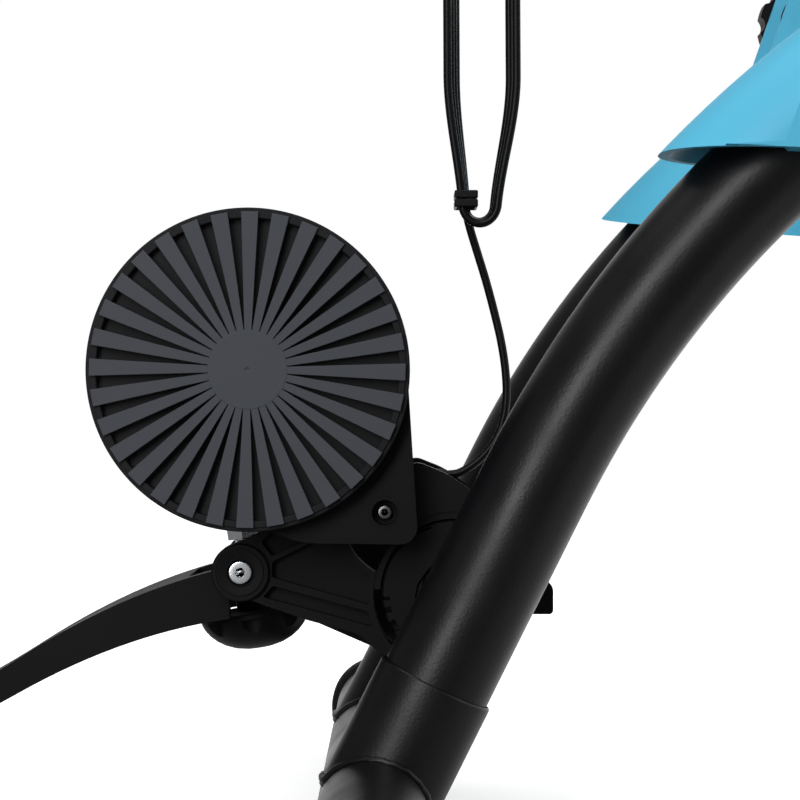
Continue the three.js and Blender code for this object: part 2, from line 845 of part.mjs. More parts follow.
function armWindow() {
  const low = polar(crossbar, arm.collar + arm.edge, 166 * degree);
  const high = polar(crossbar, arm.collar + arm.edge, 143 * degree);
  const rear = polar(tiltHinge, armCorners.windowRear, 222 * degree);
  const top = polar(tiltHinge, armCorners.windowTop, 238 * degree);
  return outline([[low.x, low.z], [high.x, high.z], [top.x, top.z], [rear.x, rear.z]], arm.edge);
}

function armPockets() {
  const high = polar(tiltHinge, armCorners.pocketHigh, 205 * degree);
  const low = polar(crossbar, arm.collar + arm.edge * 2, 183 * degree);
  const nearBoss = arm.pivotBoss + arm.edge;
  const bossHigh = polar(leverPivot, nearBoss, 36 * degree);
  const bossMid = polar(leverPivot, nearBoss, -8 * degree);
  const bossLow = polar(leverPivot, nearBoss, -20 * degree);
  const bossBase = polar(leverPivot, nearBoss, -56 * degree);
  const foot = polar(crossbar, arm.collar + arm.edge * 2, 206 * degree);
  const heel = polar(crossbar, arm.collar + arm.edge, 222 * degree);
  const upper = [bossHigh, bossMid, low, high];
  const lower = [bossLow, bossBase, heel, foot];
  return [upper, lower].map((corners) => outline(corners.map((at) => [at.x, at.z]), arm.edge));
}

function slotShape() {
  const shape = new THREE.Shape();
  shape.absarc(crossbar.x, crossbar.z, arm.slotOuter, arm.slotFrom, arm.slotTo, false);
  shape.absarc(crossbar.x, crossbar.z, saddle.disc - arm.slit, arm.slotTo, arm.slotFrom, true);
  return shape;
}

function bracketArm(side) {
  const plate = plateY(outline(armOutline()), arm.innerY, arm.outerY);
  const boss = rodY(leverPivot, arm.pivotBoss, arm.innerY, arm.outerY + arm.bossProud, roundSides);
  const discRoom = boreY(
    crossbar,
    saddle.disc + arm.slit,
    saddle.rimY - saddle.discThick - fit,
    arm.outerY + overrun,
    fineSides,
  );
  const inside = arm.innerY - overrun;
  const outside = arm.outerY + overrun;
  const sleeveRoom = boreY(crossbar, saddle.sleeve + fit, inside, outside, fineSides);
  const slot = plateY(slotShape(), inside, outside);
  const window = plateY(armWindow(), inside, outside);
  const pockets = armPockets().map((shape) => plateY(shape, arm.outerY - arm.pocket, outside));
  const recess = boreY(
    leverPivot,
    arm.pivotWell,
    arm.outerY + arm.bossProud - arm.pivotRecess,
    arm.outerY + arm.bossProud + overrun,
    roundSides,
  );
  const pivotBore = boreY(leverPivot, stub.radius + fit, inside, arm.outerY + arm.bossProud);
  const tiltBore = boreY(tiltHinge, tiltBolt.radius + fit, inside, outside);
  const openings = [slot, window, ...pockets, recess, pivotBore, tiltBore];
  const done = cut(join(plate, boss), discRoom, sleeveRoom, ...openings);
  return side < 0 ? mirrorY(done) : done;
}

const bridge = { thick: 5, fromShare: 0.42, toShare: 0.82 };
const stub = { radius: 4.4, head: 5.5, headThick: 3, hexagon: 2.6, hexagonDepth: 1.8, inner: 29.8 };
const tiltBolt = {
  radius: 3,
  head: 3.6,
  headThick: 3,
  hexagon: 1.6,
  hexagonDepth: 1.5,
  depth: 8,
  bore: 5.6,
};

function lowerEdgePlaces(fromShare, toShare, lift) {
  const start = polar(leverPivot, arm.pivotBoss, armCorners.bossTo);
  const end = polar(crossbar, arm.collar, armCorners.collarFrom);
  const along = (share, up) => [
    start.x + (end.x - start.x) * share,
    start.z + (end.z - start.z) * share + up,
  ];
  const top = lift + bridge.thick;
  return [along(fromShare, lift), along(toShare, lift), along(toShare, top), along(fromShare, top)];
}

function bracketBridge() {
  const shape = outline(lowerEdgePlaces(bridge.fromShare, bridge.toShare, arm.edge / 2));
  return plateY(shape, -arm.innerY + fit, arm.innerY - fit);
}

function headedBolt(at, size, headFrom, tip, side) {
  const headEnd = headFrom + size.headThick;
  const profile = [
    [0, tip],
    [size.radius, tip],
    [size.radius, headFrom],
    [size.head, headFrom],
    [size.head, headEnd],
    [size.hexagon, headEnd],
    [size.hexagon, headEnd - size.hexagonDepth],
    [0, headEnd - size.hexagonDepth],
  ];
  const bolt = ringY(at, profile, smallSides);
  return side < 0 ? mirrorY(bolt) : bolt;
}

place('unit_crossbar', unitCrossbar(), powderBlack);
place('bracket_saddle', saddleHalf(false), mouldedBlack);
place('bracket_cap', saddleHalf(true), mouldedBlack);
for (const [hand, side] of [['right', -1], ['left', 1]]) {
  place(`${hand}_clamp_bolt`, clampBolt(side), zinc);
  place(`${hand}_bracket_arm`, bracketArm(side), mouldedBlack);
}
place('bracket_bridge', bracketBridge(), mouldedBlack);

// Pressure gear: the foot lever on its two bolts, and the barrel, screw, nut and knob between its cheeks

const leverSize = {
  hub: 12.5,
  cheekFrom: 30.1,
  cheekTo: 42.4,
  reach: 168,
  rise: 1.5,
  fall: 36,
  curl: 54.8,
  flatten: 100,
  flatFromShare: 0.62,
  rootThick: 24.7,
  tipThick: 11.7,
  tipRound: 3.5,
  gapRear: 26.5,
  gapAhead: 31.3,
};
const screw = {
  lean: -8.6 * degree,
  radius: 5,
  barrelRadius: 9,
  barrelHalf: 29.5,
  topAbove: 21.6,
  nutAcross: 8.5,
  nutThick: 7,
  nutTop: 20.2,
  knobRadius: 27,
  knobTop: 22,
  knobThick: 19,
  knobFlutes: 8,
  knobWidthShares: [0.34, 0.5, 0.8, 0.97, 1.02],
  knobHeightShares: [0, 0.1, 0.4, 0.68, 0.82],
  flute: 7,
  collar: 8.5,
};
const screwAxis = { x: Math.sin(screw.lean), z: Math.cos(screw.lean) };

function alongScrew(distance, y = 0) {
  return new THREE.Vector3(leverPivot.x + screwAxis.x * distance, y, leverPivot.z + screwAxis.z * distance);
}

// Side outline of the lever: it leaves the hub towards the rear, curls down and flattens at the toe.
function leverOutline() {
  const steps = 10;
  const top = [];
  const low = [];
  const startX = leverPivot.x - leverSize.hub / 2;
  const tipX = leverPivot.x - leverSize.reach;
  for (let i = 0; i <= steps; i += 1) {
    const share = i / steps;
    const x = startX + (tipX - startX) * share;
    const flatShare = Math.max(share - leverSize.flatFromShare, 0);
    const curled = leverSize.curl * share * share - leverSize.flatten * flatShare * flatShare;
    const z = leverPivot.z + leverSize.rise - leverSize.fall * share - curled;
    const thick = leverSize.rootThick + (leverSize.tipThick - leverSize.rootThick) * share;
    top.push([x, z]);
    low.unshift([x, z - thick]);
  }
  return [...top, ...low];
}

function pressureLever() {
  const hubs = [-1, 1].map((side) => {
    const hub = rodY(leverPivot, leverSize.hub, leverSize.cheekFrom, leverSize.cheekTo, roundSides);
    return side < 0 ? mirrorY(hub) : hub;
  });
  const paddleShape = outline(leverOutline(), leverSize.tipRound);
  const paddle = plateY(paddleShape, -leverSize.cheekTo, leverSize.cheekTo);
  const gapLong = leverSize.gapRear + leverSize.gapAhead;
  const gap = new THREE.BoxGeometry(gapLong, leverSize.cheekFrom * 2, leverSize.reach);
  gap.translate(leverPivot.x + (leverSize.gapAhead - leverSize.gapRear) / 2, 0, leverPivot.z);
  const bores = [-1, 1].map((side) => {
    const room = stub.radius + fit;
    const bore = boreY(leverPivot, room, leverSize.cheekFrom - overrun, leverSize.cheekTo + overrun);
    return side < 0 ? mirrorY(bore) : bore;
  });
  return cut(join(paddle, ...hubs), gap, ...bores);
}

function pressureBarrel() {
  const barrelBody = rodY(leverPivot, screw.barrelRadius, -screw.barrelHalf, screw.barrelHalf, roundSides);
  const bore = boreBetween(alongScrew(-screw.knobTop), alongScrew(screw.topAbove), screw.radius + fit);
  return cut(barrelBody, bore);
}

// What is turned off the knob's blank, so that it widens like a bowl from its foot to its rim.
function knobTurning(low) {
  const outside = screw.knobRadius + overrun;
  const points = screw.knobWidthShares.map((share, i) => new THREE.Vector2(
    share * screw.knobRadius,
    screw.knobHeightShares[i] * screw.knobThick,
  ));
  const start = new THREE.Vector2(points[0].x, -overrun);
  const beyond = new THREE.Vector2(outside, points[points.length - 1].y);
  const corner = new THREE.Vector2(outside, -overrun);
  const geometry = new THREE.LatheGeometry([start, ...points, beyond, corner, start.clone()], roundSides);
  const axis = new THREE.Vector3(screwAxis.x, 0, screwAxis.z);
  const foot = alongScrew(low);
  geometry.applyQuaternion(new THREE.Quaternion().setFromUnitVectors(new THREE.Vector3(0, 1, 0), axis));
  geometry.translate(foot.x, foot.y, foot.z);
  return geometry;
}

function pressureKnob() {
  const top = -screw.knobTop;
  const low = top - screw.knobThick;
  const blank = rodBetween(alongScrew(low), alongScrew(top), screw.knobRadius, roundSides);
  let knob = cut(blank, knobTurning(low));
  const side = new THREE.Vector3(screwAxis.z, 0, -screwAxis.x);
  for (let i = 0; i < screw.knobFlutes; i += 1) {
    const angle = (i / screw.knobFlutes) * fullTurn;
    const away = side.clone().multiplyScalar(Math.cos(angle) * (screw.knobRadius + screw.flute / 2));
    away.y = Math.sin(angle) * (screw.knobRadius + screw.flute / 2);
    const start = alongScrew(low - overrun).add(away);
    const end = alongScrew(top + overrun).add(away);
    knob = cut(knob, rodBetween(start, end, screw.flute, screwSides));
  }
  const collarTop = alongScrew(-screw.barrelRadius - fit * 2);
  const collar = rodBetween(alongScrew(top - overrun), collarTop, screw.collar);
  const bore = boreBetween(alongScrew(low + screw.collar / 2), alongScrew(0), screw.radius + fit);
  return cut(join(knob, collar), bore);
}

function pressureScrew() {
  const low = -screw.knobTop - screw.knobThick + screw.collar / 2 + fit;
  return rodBetween(alongScrew(low), alongScrew(screw.topAbove), screw.radius);
}

function pressureNut() {
  const start = alongScrew(screw.nutTop - screw.nutThick);
  const end = alongScrew(screw.nutTop);
  const nut = rodBetween(start, end, screw.nutAcross, hexSides);
  return cut(nut, boreBetween(alongScrew(0), alongScrew(screw.topAbove + overrun), screw.radius + fit));
}

place('pressure_lever', pressureLever(), mouldedBlack);
for (const [hand, side] of [['right', -1], ['left', 1]]) {
  const seat = headNear - arm.pivotRecess + fit;
  place(`${hand}_lever_bolt`, headedBolt(leverPivot, stub, seat, stub.inner, side), zinc);
}
place('pressure_barrel', pressureBarrel(), bareSteel);
place('pressure_screw', pressureScrew(), zinc);
place('pressure_nut', pressureNut(), zinc);
place('pressure_knob', pressureKnob(), mouldedBlack);

// Roller unit: cradle, brake casing with its ribbed cover, flywheel casing with its lid

const cover = {
  rim: 74,
  ribEnd: 72,
  hub: 18.2,
  front: 96,
  floor: 6.5,
  ledge: 2,
  ledgeFrom: 69,
  rimBack: 3.5,
  back: 84.3,
  skin: 3,
  ribs: 32,
  ribWide: 7.9,
  ribNarrow: 2.9,
  firstRib: -0.9 * degree,
  dimple: 1.2,
};
const casing = {
  radius: 72,
  wall: 3,
  near: 84,
  far: 61,
  cavity: 68,
  rightX: 15.5,
  cornerDrop: 8,
  cornerRadius: 9,
  neck: 75,
};
const cradle = {
  radius: 56,
  inner: 38,
  outer: 60.7,
  webIn: 27,
  webOut: 39,
  webFrom: 188 * degree,
  webTo: 300 * degree,
  seatHalf: 12,
  seatWide: 18,
  seatGap: 0.4,
};
const bearing = { outer: 13, wall: 2.5, from: 41, to: 50 };
const disc = { radius: 62, thick: 3, at: 68 };
const flywheel = { radius: 57, rim: 12, from: 65, to: 80, web: 6, hub: 14 };
const carrier = { outer: 60, inner: 30, thick: 3.5, at: 78, ring: 46, keeper: 1 };
const magnet = { radius: 8, thick: 2.5, count: 8 };
const lid = { radius: 64, front: 92, dome: 4, skin: 3 };

function coverRib(index) {
  const angle = cover.firstRib + (index / cover.ribs) * fullTurn;
  const shape = outline([
    [cover.hub - cover.ribNarrow, -cover.ribNarrow / 2],
    [cover.ribEnd, -cover.ribWide / 2],
    [cover.ribEnd, cover.ribWide / 2],
    [cover.hub - cover.ribNarrow, cover.ribNarrow / 2],
  ]);
  const rib = plateY(shape, -cover.front, -cover.front + cover.floor + cover.dimple / 2);
  rib.rotateY(-angle);
  rib.translate(roller.x, 0, roller.z);
  return rib;
}

// Ribbed cover with the pilot ring inside it that the magnet carrier turns on.
function ribbedCover() {
  const front = -cover.front;
  const floor = front + cover.floor;
  const pilot = carrier.inner - fit;
  const pilotEnd = -carrier.at + carrier.thick;
  const profile = [
    [0, front],
    [cover.hub, front],
    [cover.hub, floor],
    [cover.ledgeFrom, floor],
    [cover.ledgeFrom, front + cover.ledge],
    [cover.ribEnd, front + cover.ledge],
    [cover.ribEnd, front + cover.rimBack],
    [cover.rim, front + cover.rimBack],
    [cover.rim, -cover.back],
    [casing.cavity, -cover.back],
    [casing.cavity, floor + cover.skin],
    [pilot, floor + cover.skin],
    [pilot, pilotEnd],
    [pilot - cover.skin, pilotEnd],
    [pilot - cover.skin, floor + cover.skin],
    [0, floor + cover.skin],
  ];
  const body = ringY(roller, profile, cover.ribs);
  const ribs = [];
  for (let i = 0; i < cover.ribs; i += 1) ribs.push(coverRib(i));
  return join(body, ...ribs);
}

// Side outline of the foot of a casing: down from the drum to the tilt hinge, and back under the drum.
function casingFoot(radius) {
  const heel = polar(roller, radius - casing.wall, 240 * degree);
  const shoulder = polar(roller, radius, 2 * degree);
  const right = tiltHinge.x + casing.rightX;
  return outline([
    [roller.x, roller.z],
    [heel.x, heel.z],
    [tiltHinge.x - casing.neck / 2, tiltHinge.z - casing.cornerDrop - casing.wall * 2],
    [right, tiltHinge.z - casing.cornerDrop - casing.wall * 2],
    [Math.max(shoulder.x, right - casing.wall), shoulder.z],
  ], casing.cornerRadius);
}

function casingBody(radius, cavity, side) {
  const drum = rodY(roller, radius, casing.far, casing.near, fineSides);
  const foot = plateY(casingFoot(radius), casing.far, casing.near - casing.wall);
  const room = boreY(roller, cavity, casing.far + casing.wall, casing.near + overrun, fineSides);
  const shaftHole = boreY(roller, shaftRadius + fit * 6, casing.far - overrun, casing.near, roundSides);
  const boltFloor = casing.near - casing.wall - tiltBolt.depth;
  const counterbore = boreY(tiltHinge, tiltBolt.bore, boltFloor, casing.near, roundSides);
  const boltBore = boreY(tiltHinge, tiltBolt.radius + fit, casing.far - overrun, casing.near);
  const done = cut(join(drum, foot), room, shaftHole, counterbore, boltBore);
  return side < 0 ? mirrorY(done) : done;
}

function webShape() {
  const shape = new THREE.Shape();
  shape.absarc(roller.x, roller.z, cradle.webOut, cradle.webFrom, cradle.webTo, false);
  shape.absarc(roller.x, roller.z, cradle.webIn, cradle.webTo, cradle.webFrom, true);
  return shape;
}

function seatBlock() {
  const top = alongScrew(screw.nutTop + cradle.seatGap);
  const high = polar(roller, cradle.webOut - overrun, 255 * degree);
  const half = cradle.seatWide / 2;
  const across = { x: screwAxis.z * half, z: -screwAxis.x * half };
  const shape = outline([
    [top.x - across.x, top.z - across.z],
    [top.x + across.x, top.z + across.z],
    [high.x + half, high.z],
    [high.x - half, high.z],
  ]);
  return plateY(shape, -cradle.seatHalf, cradle.seatHalf);
}

function unitCradle() {
  const discs = [-1, 1].map((side) => {
    const wall = rodY(roller, cradle.radius, cradle.inner, cradle.outer, fineSides);
    return side < 0 ? mirrorY(wall) : wall;
  });
  const web = plateY(webShape(), -cradle.inner - overrun, cradle.inner + overrun);
  const end = cradle.outer + overrun;
  const bore = boreY(roller, bearing.outer + fit, -end, end, roundSides);
  const screwEnd = alongScrew(screw.nutTop + screw.radius * 2);
  const screwRoom = boreBetween(alongScrew(screw.nutTop), screwEnd, screw.radius + fit * 2);
  return cut(join(web, ...discs, seatBlock()), bore, screwRoom);
}

function flywheelSolid() {
  const middle = (flywheel.from + flywheel.to) / 2;
  const bore = flats(shaftRadius + fit, fineSides);
  const profile = [
    [bore, flywheel.from],
    [flywheel.hub, flywheel.from],
    [flywheel.hub, middle - flywheel.web / 2],
    [flywheel.radius - flywheel.rim, middle - flywheel.web / 2],
    [flywheel.radius - flywheel.rim, flywheel.from],
    [flywheel.radius, flywheel.from],
    [flywheel.radius, flywheel.to],
    [flywheel.radius - flywheel.rim, flywheel.to],
    [flywheel.radius - flywheel.rim, middle + flywheel.web / 2],
    [flywheel.hub, middle + flywheel.web / 2],
    [flywheel.hub, flywheel.to],
    [bore, flywheel.to],
  ];
  return ringY(roller, profile, fineSides);
}

function flywheelLid() {
  const seat = casing.near + fit;
  const profile = [
    [0, lid.front],
    [lid.radius - lid.dome * 2, lid.front - lid.dome / 4],
    [lid.radius, lid.front - lid.dome],
    [lid.radius, seat],
    [lid.radius - lid.skin, seat],
    [lid.radius - lid.skin, lid.front - lid.dome - lid.skin / 2],
    [0, lid.front - lid.skin],
  ];
  return ringY(roller, profile, fineSides);
}

// Round magnets on the steel ring that keeps them, facing the brake disc.
function magnetRing() {
  const from = -carrier.at + carrier.thick + fit;
  const half = magnet.radius + carrier.keeper;
  const to = from + carrier.keeper;
  const keeper = tubeY(roller, carrier.ring + half, carrier.ring - half, from, to, fineSides);
  const discs = [];
  for (let i = 0; i < magnet.count; i += 1) {
    const at = polar(roller, carrier.ring, (i / magnet.count) * fullTurn);
    discs.push(rodY(at, magnet.radius, from, from + carrier.keeper + magnet.thick, screwSides));
  }
  return join(keeper, ...discs);
}

const diskTo = -disc.at + disc.thick / 2;
place('ribbed_cover', ribbedCover(), coverGrey);
place('brake_casing', casingBody(casing.radius, casing.cavity, -1), mouldedBlack);
place('flywheel_casing', casingBody(lid.radius, lid.radius - lid.skin, 1), mouldedBlack);
place('flywheel_lid', flywheelLid(), coverGrey);
place('unit_cradle', unitCradle(), castGrey);
for (const [hand, side] of [['right', -1], ['left', 1]]) {
  const boltSeat = casing.near - casing.wall - tiltBolt.depth + fit;
  place(`${hand}_tilt_bolt`, headedBolt(tiltHinge, tiltBolt, boltSeat, arm.innerY, side), zinc);
  const race = tubeY(roller, bearing.outer, shaftRadius + fit, bearing.from, bearing.to, roundSides);
  place(`${hand}_bearing`, side < 0 ? mirrorY(race) : race, bareSteel);
}
const onShaft = shaftRadius + fit;
const axleFrom = diskTo - disc.thick * 2;
place('roller', tubeY(roller, rollerRadius, onShaft, -rollerHalfLength, rollerHalfLength), aluminium);
place('roller_axle', rodY(roller, shaftRadius, axleFrom, flywheel.to + fit, roundSides), bareSteel);
place('flywheel', flywheelSolid(), castGrey);
place('brake_disc', tubeY(roller, disc.radius, onShaft, diskTo - disc.thick, diskTo, fineSides), aluminium);
place('magnet_carrier', tubeY(
  roller,
  carrier.outer,
  carrier.inner,
  -carrier.at,
  -carrier.at + carrier.thick,
  fineSides,
), mouldedBlack);
place('magnet_ring', magnetRing(), bareSteel);

// Brake cable: gland on the right arm, lead up to the hank, the hank in its tie, and a lead to the shifter

const cable = {
  radius: 2,
  loops: 3,
  runSteps: 2,
  bendSteps: 10,
  loopSides: 6,
  leadSteps: 20,
  shifterSteps: 20,
  runHalf: 47,
  bendRadius: 12.2,
  step: 1.4,
  pitch: -4.9,
  straightEnd: 5,
};
const tie = { left: 19.8, right: 6.2, room: 0.5, wall: 1.3, tall: 8, below: 55.5 };
const hankPlace = { x: 39, y: -42, z: 358 };
const shifter = {
  long: 46,
  wide: 22,
  tall: 20,
  noseShare: 0.45,
  band: 2.4,
  strap: 16,
  pivot: 4,
  pivotDepth: 8,
  leverHub: 8,
  leverThick: 5,
  leverReach: 26,
  leverAngle: 62 * degree,
};
const gland = { radius: 4.2, length: 30, tip: 3.2, blockShare: 0.45 };
const cableY = -37;
const leadRoute = [
  [22.6, -37, 178.6],
  [27.5, -37, 179.2],
  [33.5, -37, 182.2],
  [39.5, -37, 188],
  [44.5, -37, 196],
  [48.6, -37, 209],
  [51, -37, 223],
  [49.7, -37, 236],
  [45.5, -37, 252.5],
  [41, -38, 269],
  [36.5, -39.5, 283.5],
  [31.6, -41.2, 296],
  [27.8, -42, 304.5],
  [26.8, -42, 310.7],
];
const shifterRoute = [
  [44.3, -58.5, 421.7],
  [52, -58.6, 421.7],
  [72, -61, 423],
  [98, -69, 428],
  [126, -81, 435],
  [154, -94.5, 440.5],
  [180, -107.5, 442.8],
  [195, -113, 442.8],
  [202.5, -113.5, 442.8],
];

function routeCurve(route) {
  const points = route.map((point) => new THREE.Vector3(...point));
  return new THREE.CatmullRomCurve3(points, false, 'centripetal');
}

function cordTube(route, steps) {
  return sweep(ringShape(cable.radius, 0, cordSides), routeCurve(route), steps);
}

function cableGland() {
  const end = new THREE.Vector3(...leadRoute[0]);
  end.x -= fit;
  const start = end.clone();
  start.x -= gland.length;
  const body = rodBetween(start, end, gland.radius, screwSides, gland.tip);
  const block = new THREE.BoxGeometry(gland.length / 2, arm.innerY - fit + cableY, gland.radius * 2);
  block.translate(end.x - gland.length * gland.blockShare, -(arm.innerY - fit - cableY) / 2, end.z);
  return join(body, block);
}

// The hank is a long oval of two runs and two round ends, walked from its lower left corner.
function hankPoint(turn) {
  const wide = cable.bendRadius + cable.step * turn;
  const share = turn - Math.floor(turn);
  const bendLength = halfTurn * wide;
  const runLength = cable.runHalf * 2;
  const along = share * 2 * (bendLength + runLength);
  const y = hankPlace.y + cable.pitch * turn;
  if (along < runLength) {
    return new THREE.Vector3(hankPlace.x - wide, y, hankPlace.z - cable.runHalf + along);
  }
  if (along < runLength + bendLength) {
    const angle = halfTurn - (along - runLength) / wide;
    const x = hankPlace.x + wide * Math.cos(angle);
    return new THREE.Vector3(x, y, hankPlace.z + cable.runHalf + wide * Math.sin(angle));
  }
  if (along < 2 * runLength + bendLength) {
    const down = along - runLength - bendLength;
    return new THREE.Vector3(hankPlace.x + wide, y, hankPlace.z + cable.runHalf - down);
  }
  const angle = -(along - 2 * runLength - bendLength) / wide;
  const low = hankPlace.z - cable.runHalf;
  return new THREE.Vector3(hankPlace.x + wide * Math.cos(angle), y, low + wide * Math.sin(angle));
}

// Shares of one loop at its steps: few on the runs, many in the round ends.
function loopShares(wide) {
  const bendLength = halfTurn * wide;
  const runLength = cable.runHalf * 2;
  const whole = 2 * (bendLength + runLength);
  const shares = [];
  for (const start of [0, bendLength + runLength]) {
    for (let i = 0; i < cable.runSteps; i += 1) {
      shares.push((start + (runLength * i) / cable.runSteps) / whole);
    }
    for (let i = 0; i < cable.bendSteps; i += 1) {
      shares.push((start + runLength + (bendLength * i) / cable.bendSteps) / whole);
    }
  }
  return shares;
}

// All turns of the hank: whole loops, then up the left run and half round the upper end.
function hankTurns() {
  const turns = [];
  for (let loop = 0; loop < cable.loops; loop += 1) {
    for (const share of loopShares(cable.bendRadius + cable.step * (loop + 1))) turns.push(loop + share);
  }
  const last = loopShares(cable.bendRadius + cable.step * (cable.loops + 0.5));
  const lastSteps = cable.runSteps + cable.bendSteps / 2 + 1;
  for (const share of last.slice(0, lastSteps)) turns.push(cable.loops + share);
  return turns;
}

const hankProbe = 0.002;

function hankRing(centre, along, radius, sides) {
  const level = new THREE.Vector3(0, 1, 0);
  const across = new THREE.Vector3().crossVectors(level, along).normalize();
  const upright = new THREE.Vector3().crossVectors(along, across).normalize();
  const ring = [];
  for (let i = 0; i < sides; i += 1) {
    const angle = (i / sides) * fullTurn;
    ring.push(centre.clone()
      .addScaledVector(across, radius * Math.cos(angle))
      .addScaledVector(upright, radius * Math.sin(angle)));
  }
  return ring;
}

function cableHank() {
  const turns = hankTurns();
  const sides = cable.loopSides;
  const points = turns.map(hankPoint);
  const ways = turns.map((turn) => {
    const after = hankPoint(turn + hankProbe);
    return after.sub(hankPoint(Math.max(turn - hankProbe, 0))).normalize();
  });
  const lastWay = ways[ways.length - 1];
  points.push(points[points.length - 1].clone().addScaledVector(lastWay, cable.straightEnd));
  ways.push(lastWay);
  const positions = [];
  const faces = [];
  const count = points.length - 1;
  points.forEach((point, i) => {
    for (const corner of hankRing(point, ways[i], cable.radius, sides)) positions.push(...corner.toArray());
  });
  for (let i = 0; i < count; i += 1) {
    for (let j = 0; j < sides; j += 1) {
      const here = i * sides + j;
      const next = i * sides + ((j + 1) % sides);
      faces.push(here, next, here + sides, next, next + sides, here + sides);
    }
  }
  for (let j = 1; j < sides - 1; j += 1) {
    faces.push(0, j + 1, j);
    faces.push(count * sides, count * sides + j, count * sides + j + 1);
  }
  reportHankGap(points);
  const geometry = new THREE.BufferGeometry();
  geometry.setAttribute('position', new THREE.Float32BufferAttribute(positions, 3));
  geometry.setIndex(faces);
  return geometry;
}

// Measures the least gap between turns of the hank on its centre points, and prints it.
function reportHankGap(points) {
  let least = Infinity;
  const apart = cable.bendSteps;
  for (let i = 0; i < points.length; i += 1) {
    for (let j = i + apart; j < points.length; j += 1) {
      const segment = new THREE.Line3(points[j - 1], points[j]);
      const near = segment.closestPointToPoint(points[i], true, new THREE.Vector3());
      least = Math.min(least, near.distanceTo(points[i]));
    }
  }
  console.log(`least gap between the turns of the hank: ${(least - 2 * cable.radius).toFixed(2)} mm`);
}

// Tie: a soft band wound round the lower left of the hank, where the lead joins it.
function cableTie() {
  const left = hankPlace.x - tie.left;
  const right = hankPlace.x - tie.right;
  const near = hankPlace.y + cable.pitch * cable.loops - cable.radius - tie.room;
  const far = hankPlace.y + cable.radius + tie.room;
  const band = outline([
    [left - tie.wall, near - tie.wall],
    [right + tie.wall, near - tie.wall],
    [right + tie.wall, far + tie.wall],
    [left - tie.wall, far + tie.wall],
  ], tie.wall * 3);
  band.holes.push(outline([[left, near], [right, near], [right, far], [left, far]], tie.wall * 2));
  const settings = { depth: tie.tall, bevelEnabled: false, curveSegments: cornerSteps };
  const geometry = new THREE.ExtrudeGeometry(band, settings);
  geometry.translate(0, 0, hankPlace.z - tie.below);
  return geometry;
}

const shifterAt = { x: axle.x, y: -(shroud.innerY + shroud.outerY) / 2, z: axle.z };

// Remote shifter, parked with its band round the right clamp barrel as it would sit on a handlebar.
function shifterBody() {
  const from = shifterAt.y - shifter.wide / 2;
  const bottom = shifterAt.z + barrel.radius + fit + shifter.band;
  const shape = outline([
    [shifterAt.x - shifter.long / 2, bottom - fit],
    [shifterAt.x + shifter.long / 2, bottom - fit],
    [shifterAt.x + shifter.long / 2, bottom + shifter.tall * shifter.noseShare],
    [shifterAt.x + shifter.long / 4, bottom + shifter.tall],
    [shifterAt.x - shifter.long / 4, bottom + shifter.tall],
    [shifterAt.x - shifter.long / 2, bottom + shifter.tall * shifter.noseShare],
  ], shifter.band);
  const body = plateY(shape, from, from + shifter.wide);
  const pivot = { x: shifterAt.x, z: bottom + shifter.tall / 2 };
  const bore = boreY(pivot, shifter.pivot + fit, from - overrun, from + shifter.pivotDepth);
  const half = shifter.strap / 2;
  const grasp = barrel.radius + fit;
  const near = shifterAt.y - half;
  const far = shifterAt.y + half;
  const band = rodY(shifterAt, grasp + shifter.band, near, far, roundSides);
  const grip = boreY(shifterAt, grasp, near - overrun, far + overrun, roundSides);
  return cut(join(body, band), bore, grip);
}

function shifterLever() {
  const face = shifterAt.y - shifter.wide / 2 - fit;
  const bottom = shifterAt.z + barrel.radius + fit + shifter.band;
  const pivot = { x: shifterAt.x, z: bottom + shifter.tall / 2 };
  const hub = rodY(pivot, shifter.leverHub, face - shifter.leverThick, face, smallSides);
  const stem = rodY(pivot, shifter.pivot, face - fit, face + shifter.pivotDepth - fit * 2, smallSides);
  const tip = polar(pivot, shifter.leverReach, shifter.leverAngle);
  const side = shifter.leverHub / 2;
  const blade = plateY(outline([
    [pivot.x - side, pivot.z],
    [pivot.x + side, pivot.z],
    [tip.x + side, tip.z],
    [tip.x - side, tip.z],
  ], shifter.band), face - shifter.leverThick, face);
  return join(hub, stem, blade);
}

place('cable_gland', cableGland(), softBlack);
place('cable_lead', cordTube(leadRoute, cable.leadSteps), softBlack);
place('cable_hank', cableHank(), softBlack);
place('cable_to_shifter', cordTube(shifterRoute, cable.shifterSteps), softBlack);
place('shifter_body', shifterBody(), mouldedBlack);
place('cable_tie', cableTie(), softBlack);
place('shifter_lever', shifterLever(), mouldedBlack);

// The origin lies on the floor, midway between the front and the rear of everything but the cable

const onCable = [
  'cable_lead',
  'cable_hank',
  'cable_to_shifter',
  'cable_tie',
  'shifter_body',
  'shifter_lever',
];
const reach = new THREE.Box3();
for (const mesh of trainer.children) {
  if (!onCable.includes(mesh.name)) reach.expandByObject(mesh, true);
}
trainer.position.x = -(reach.min.x + reach.max.x) / 2;
trainer.position.y = -(reach.min.y + reach.max.y) / 2;
trainer.updateMatrixWorld(true);

export default trainer;
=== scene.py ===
# Looks of the wheel-on turbo trainer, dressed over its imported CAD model.
# Sizes are in millimetres of the side view, whose zero lies under the camera; put() turns them into metres.

import math

import bmesh
import bpy
from mathutils import Matrix, Quaternion, Vector


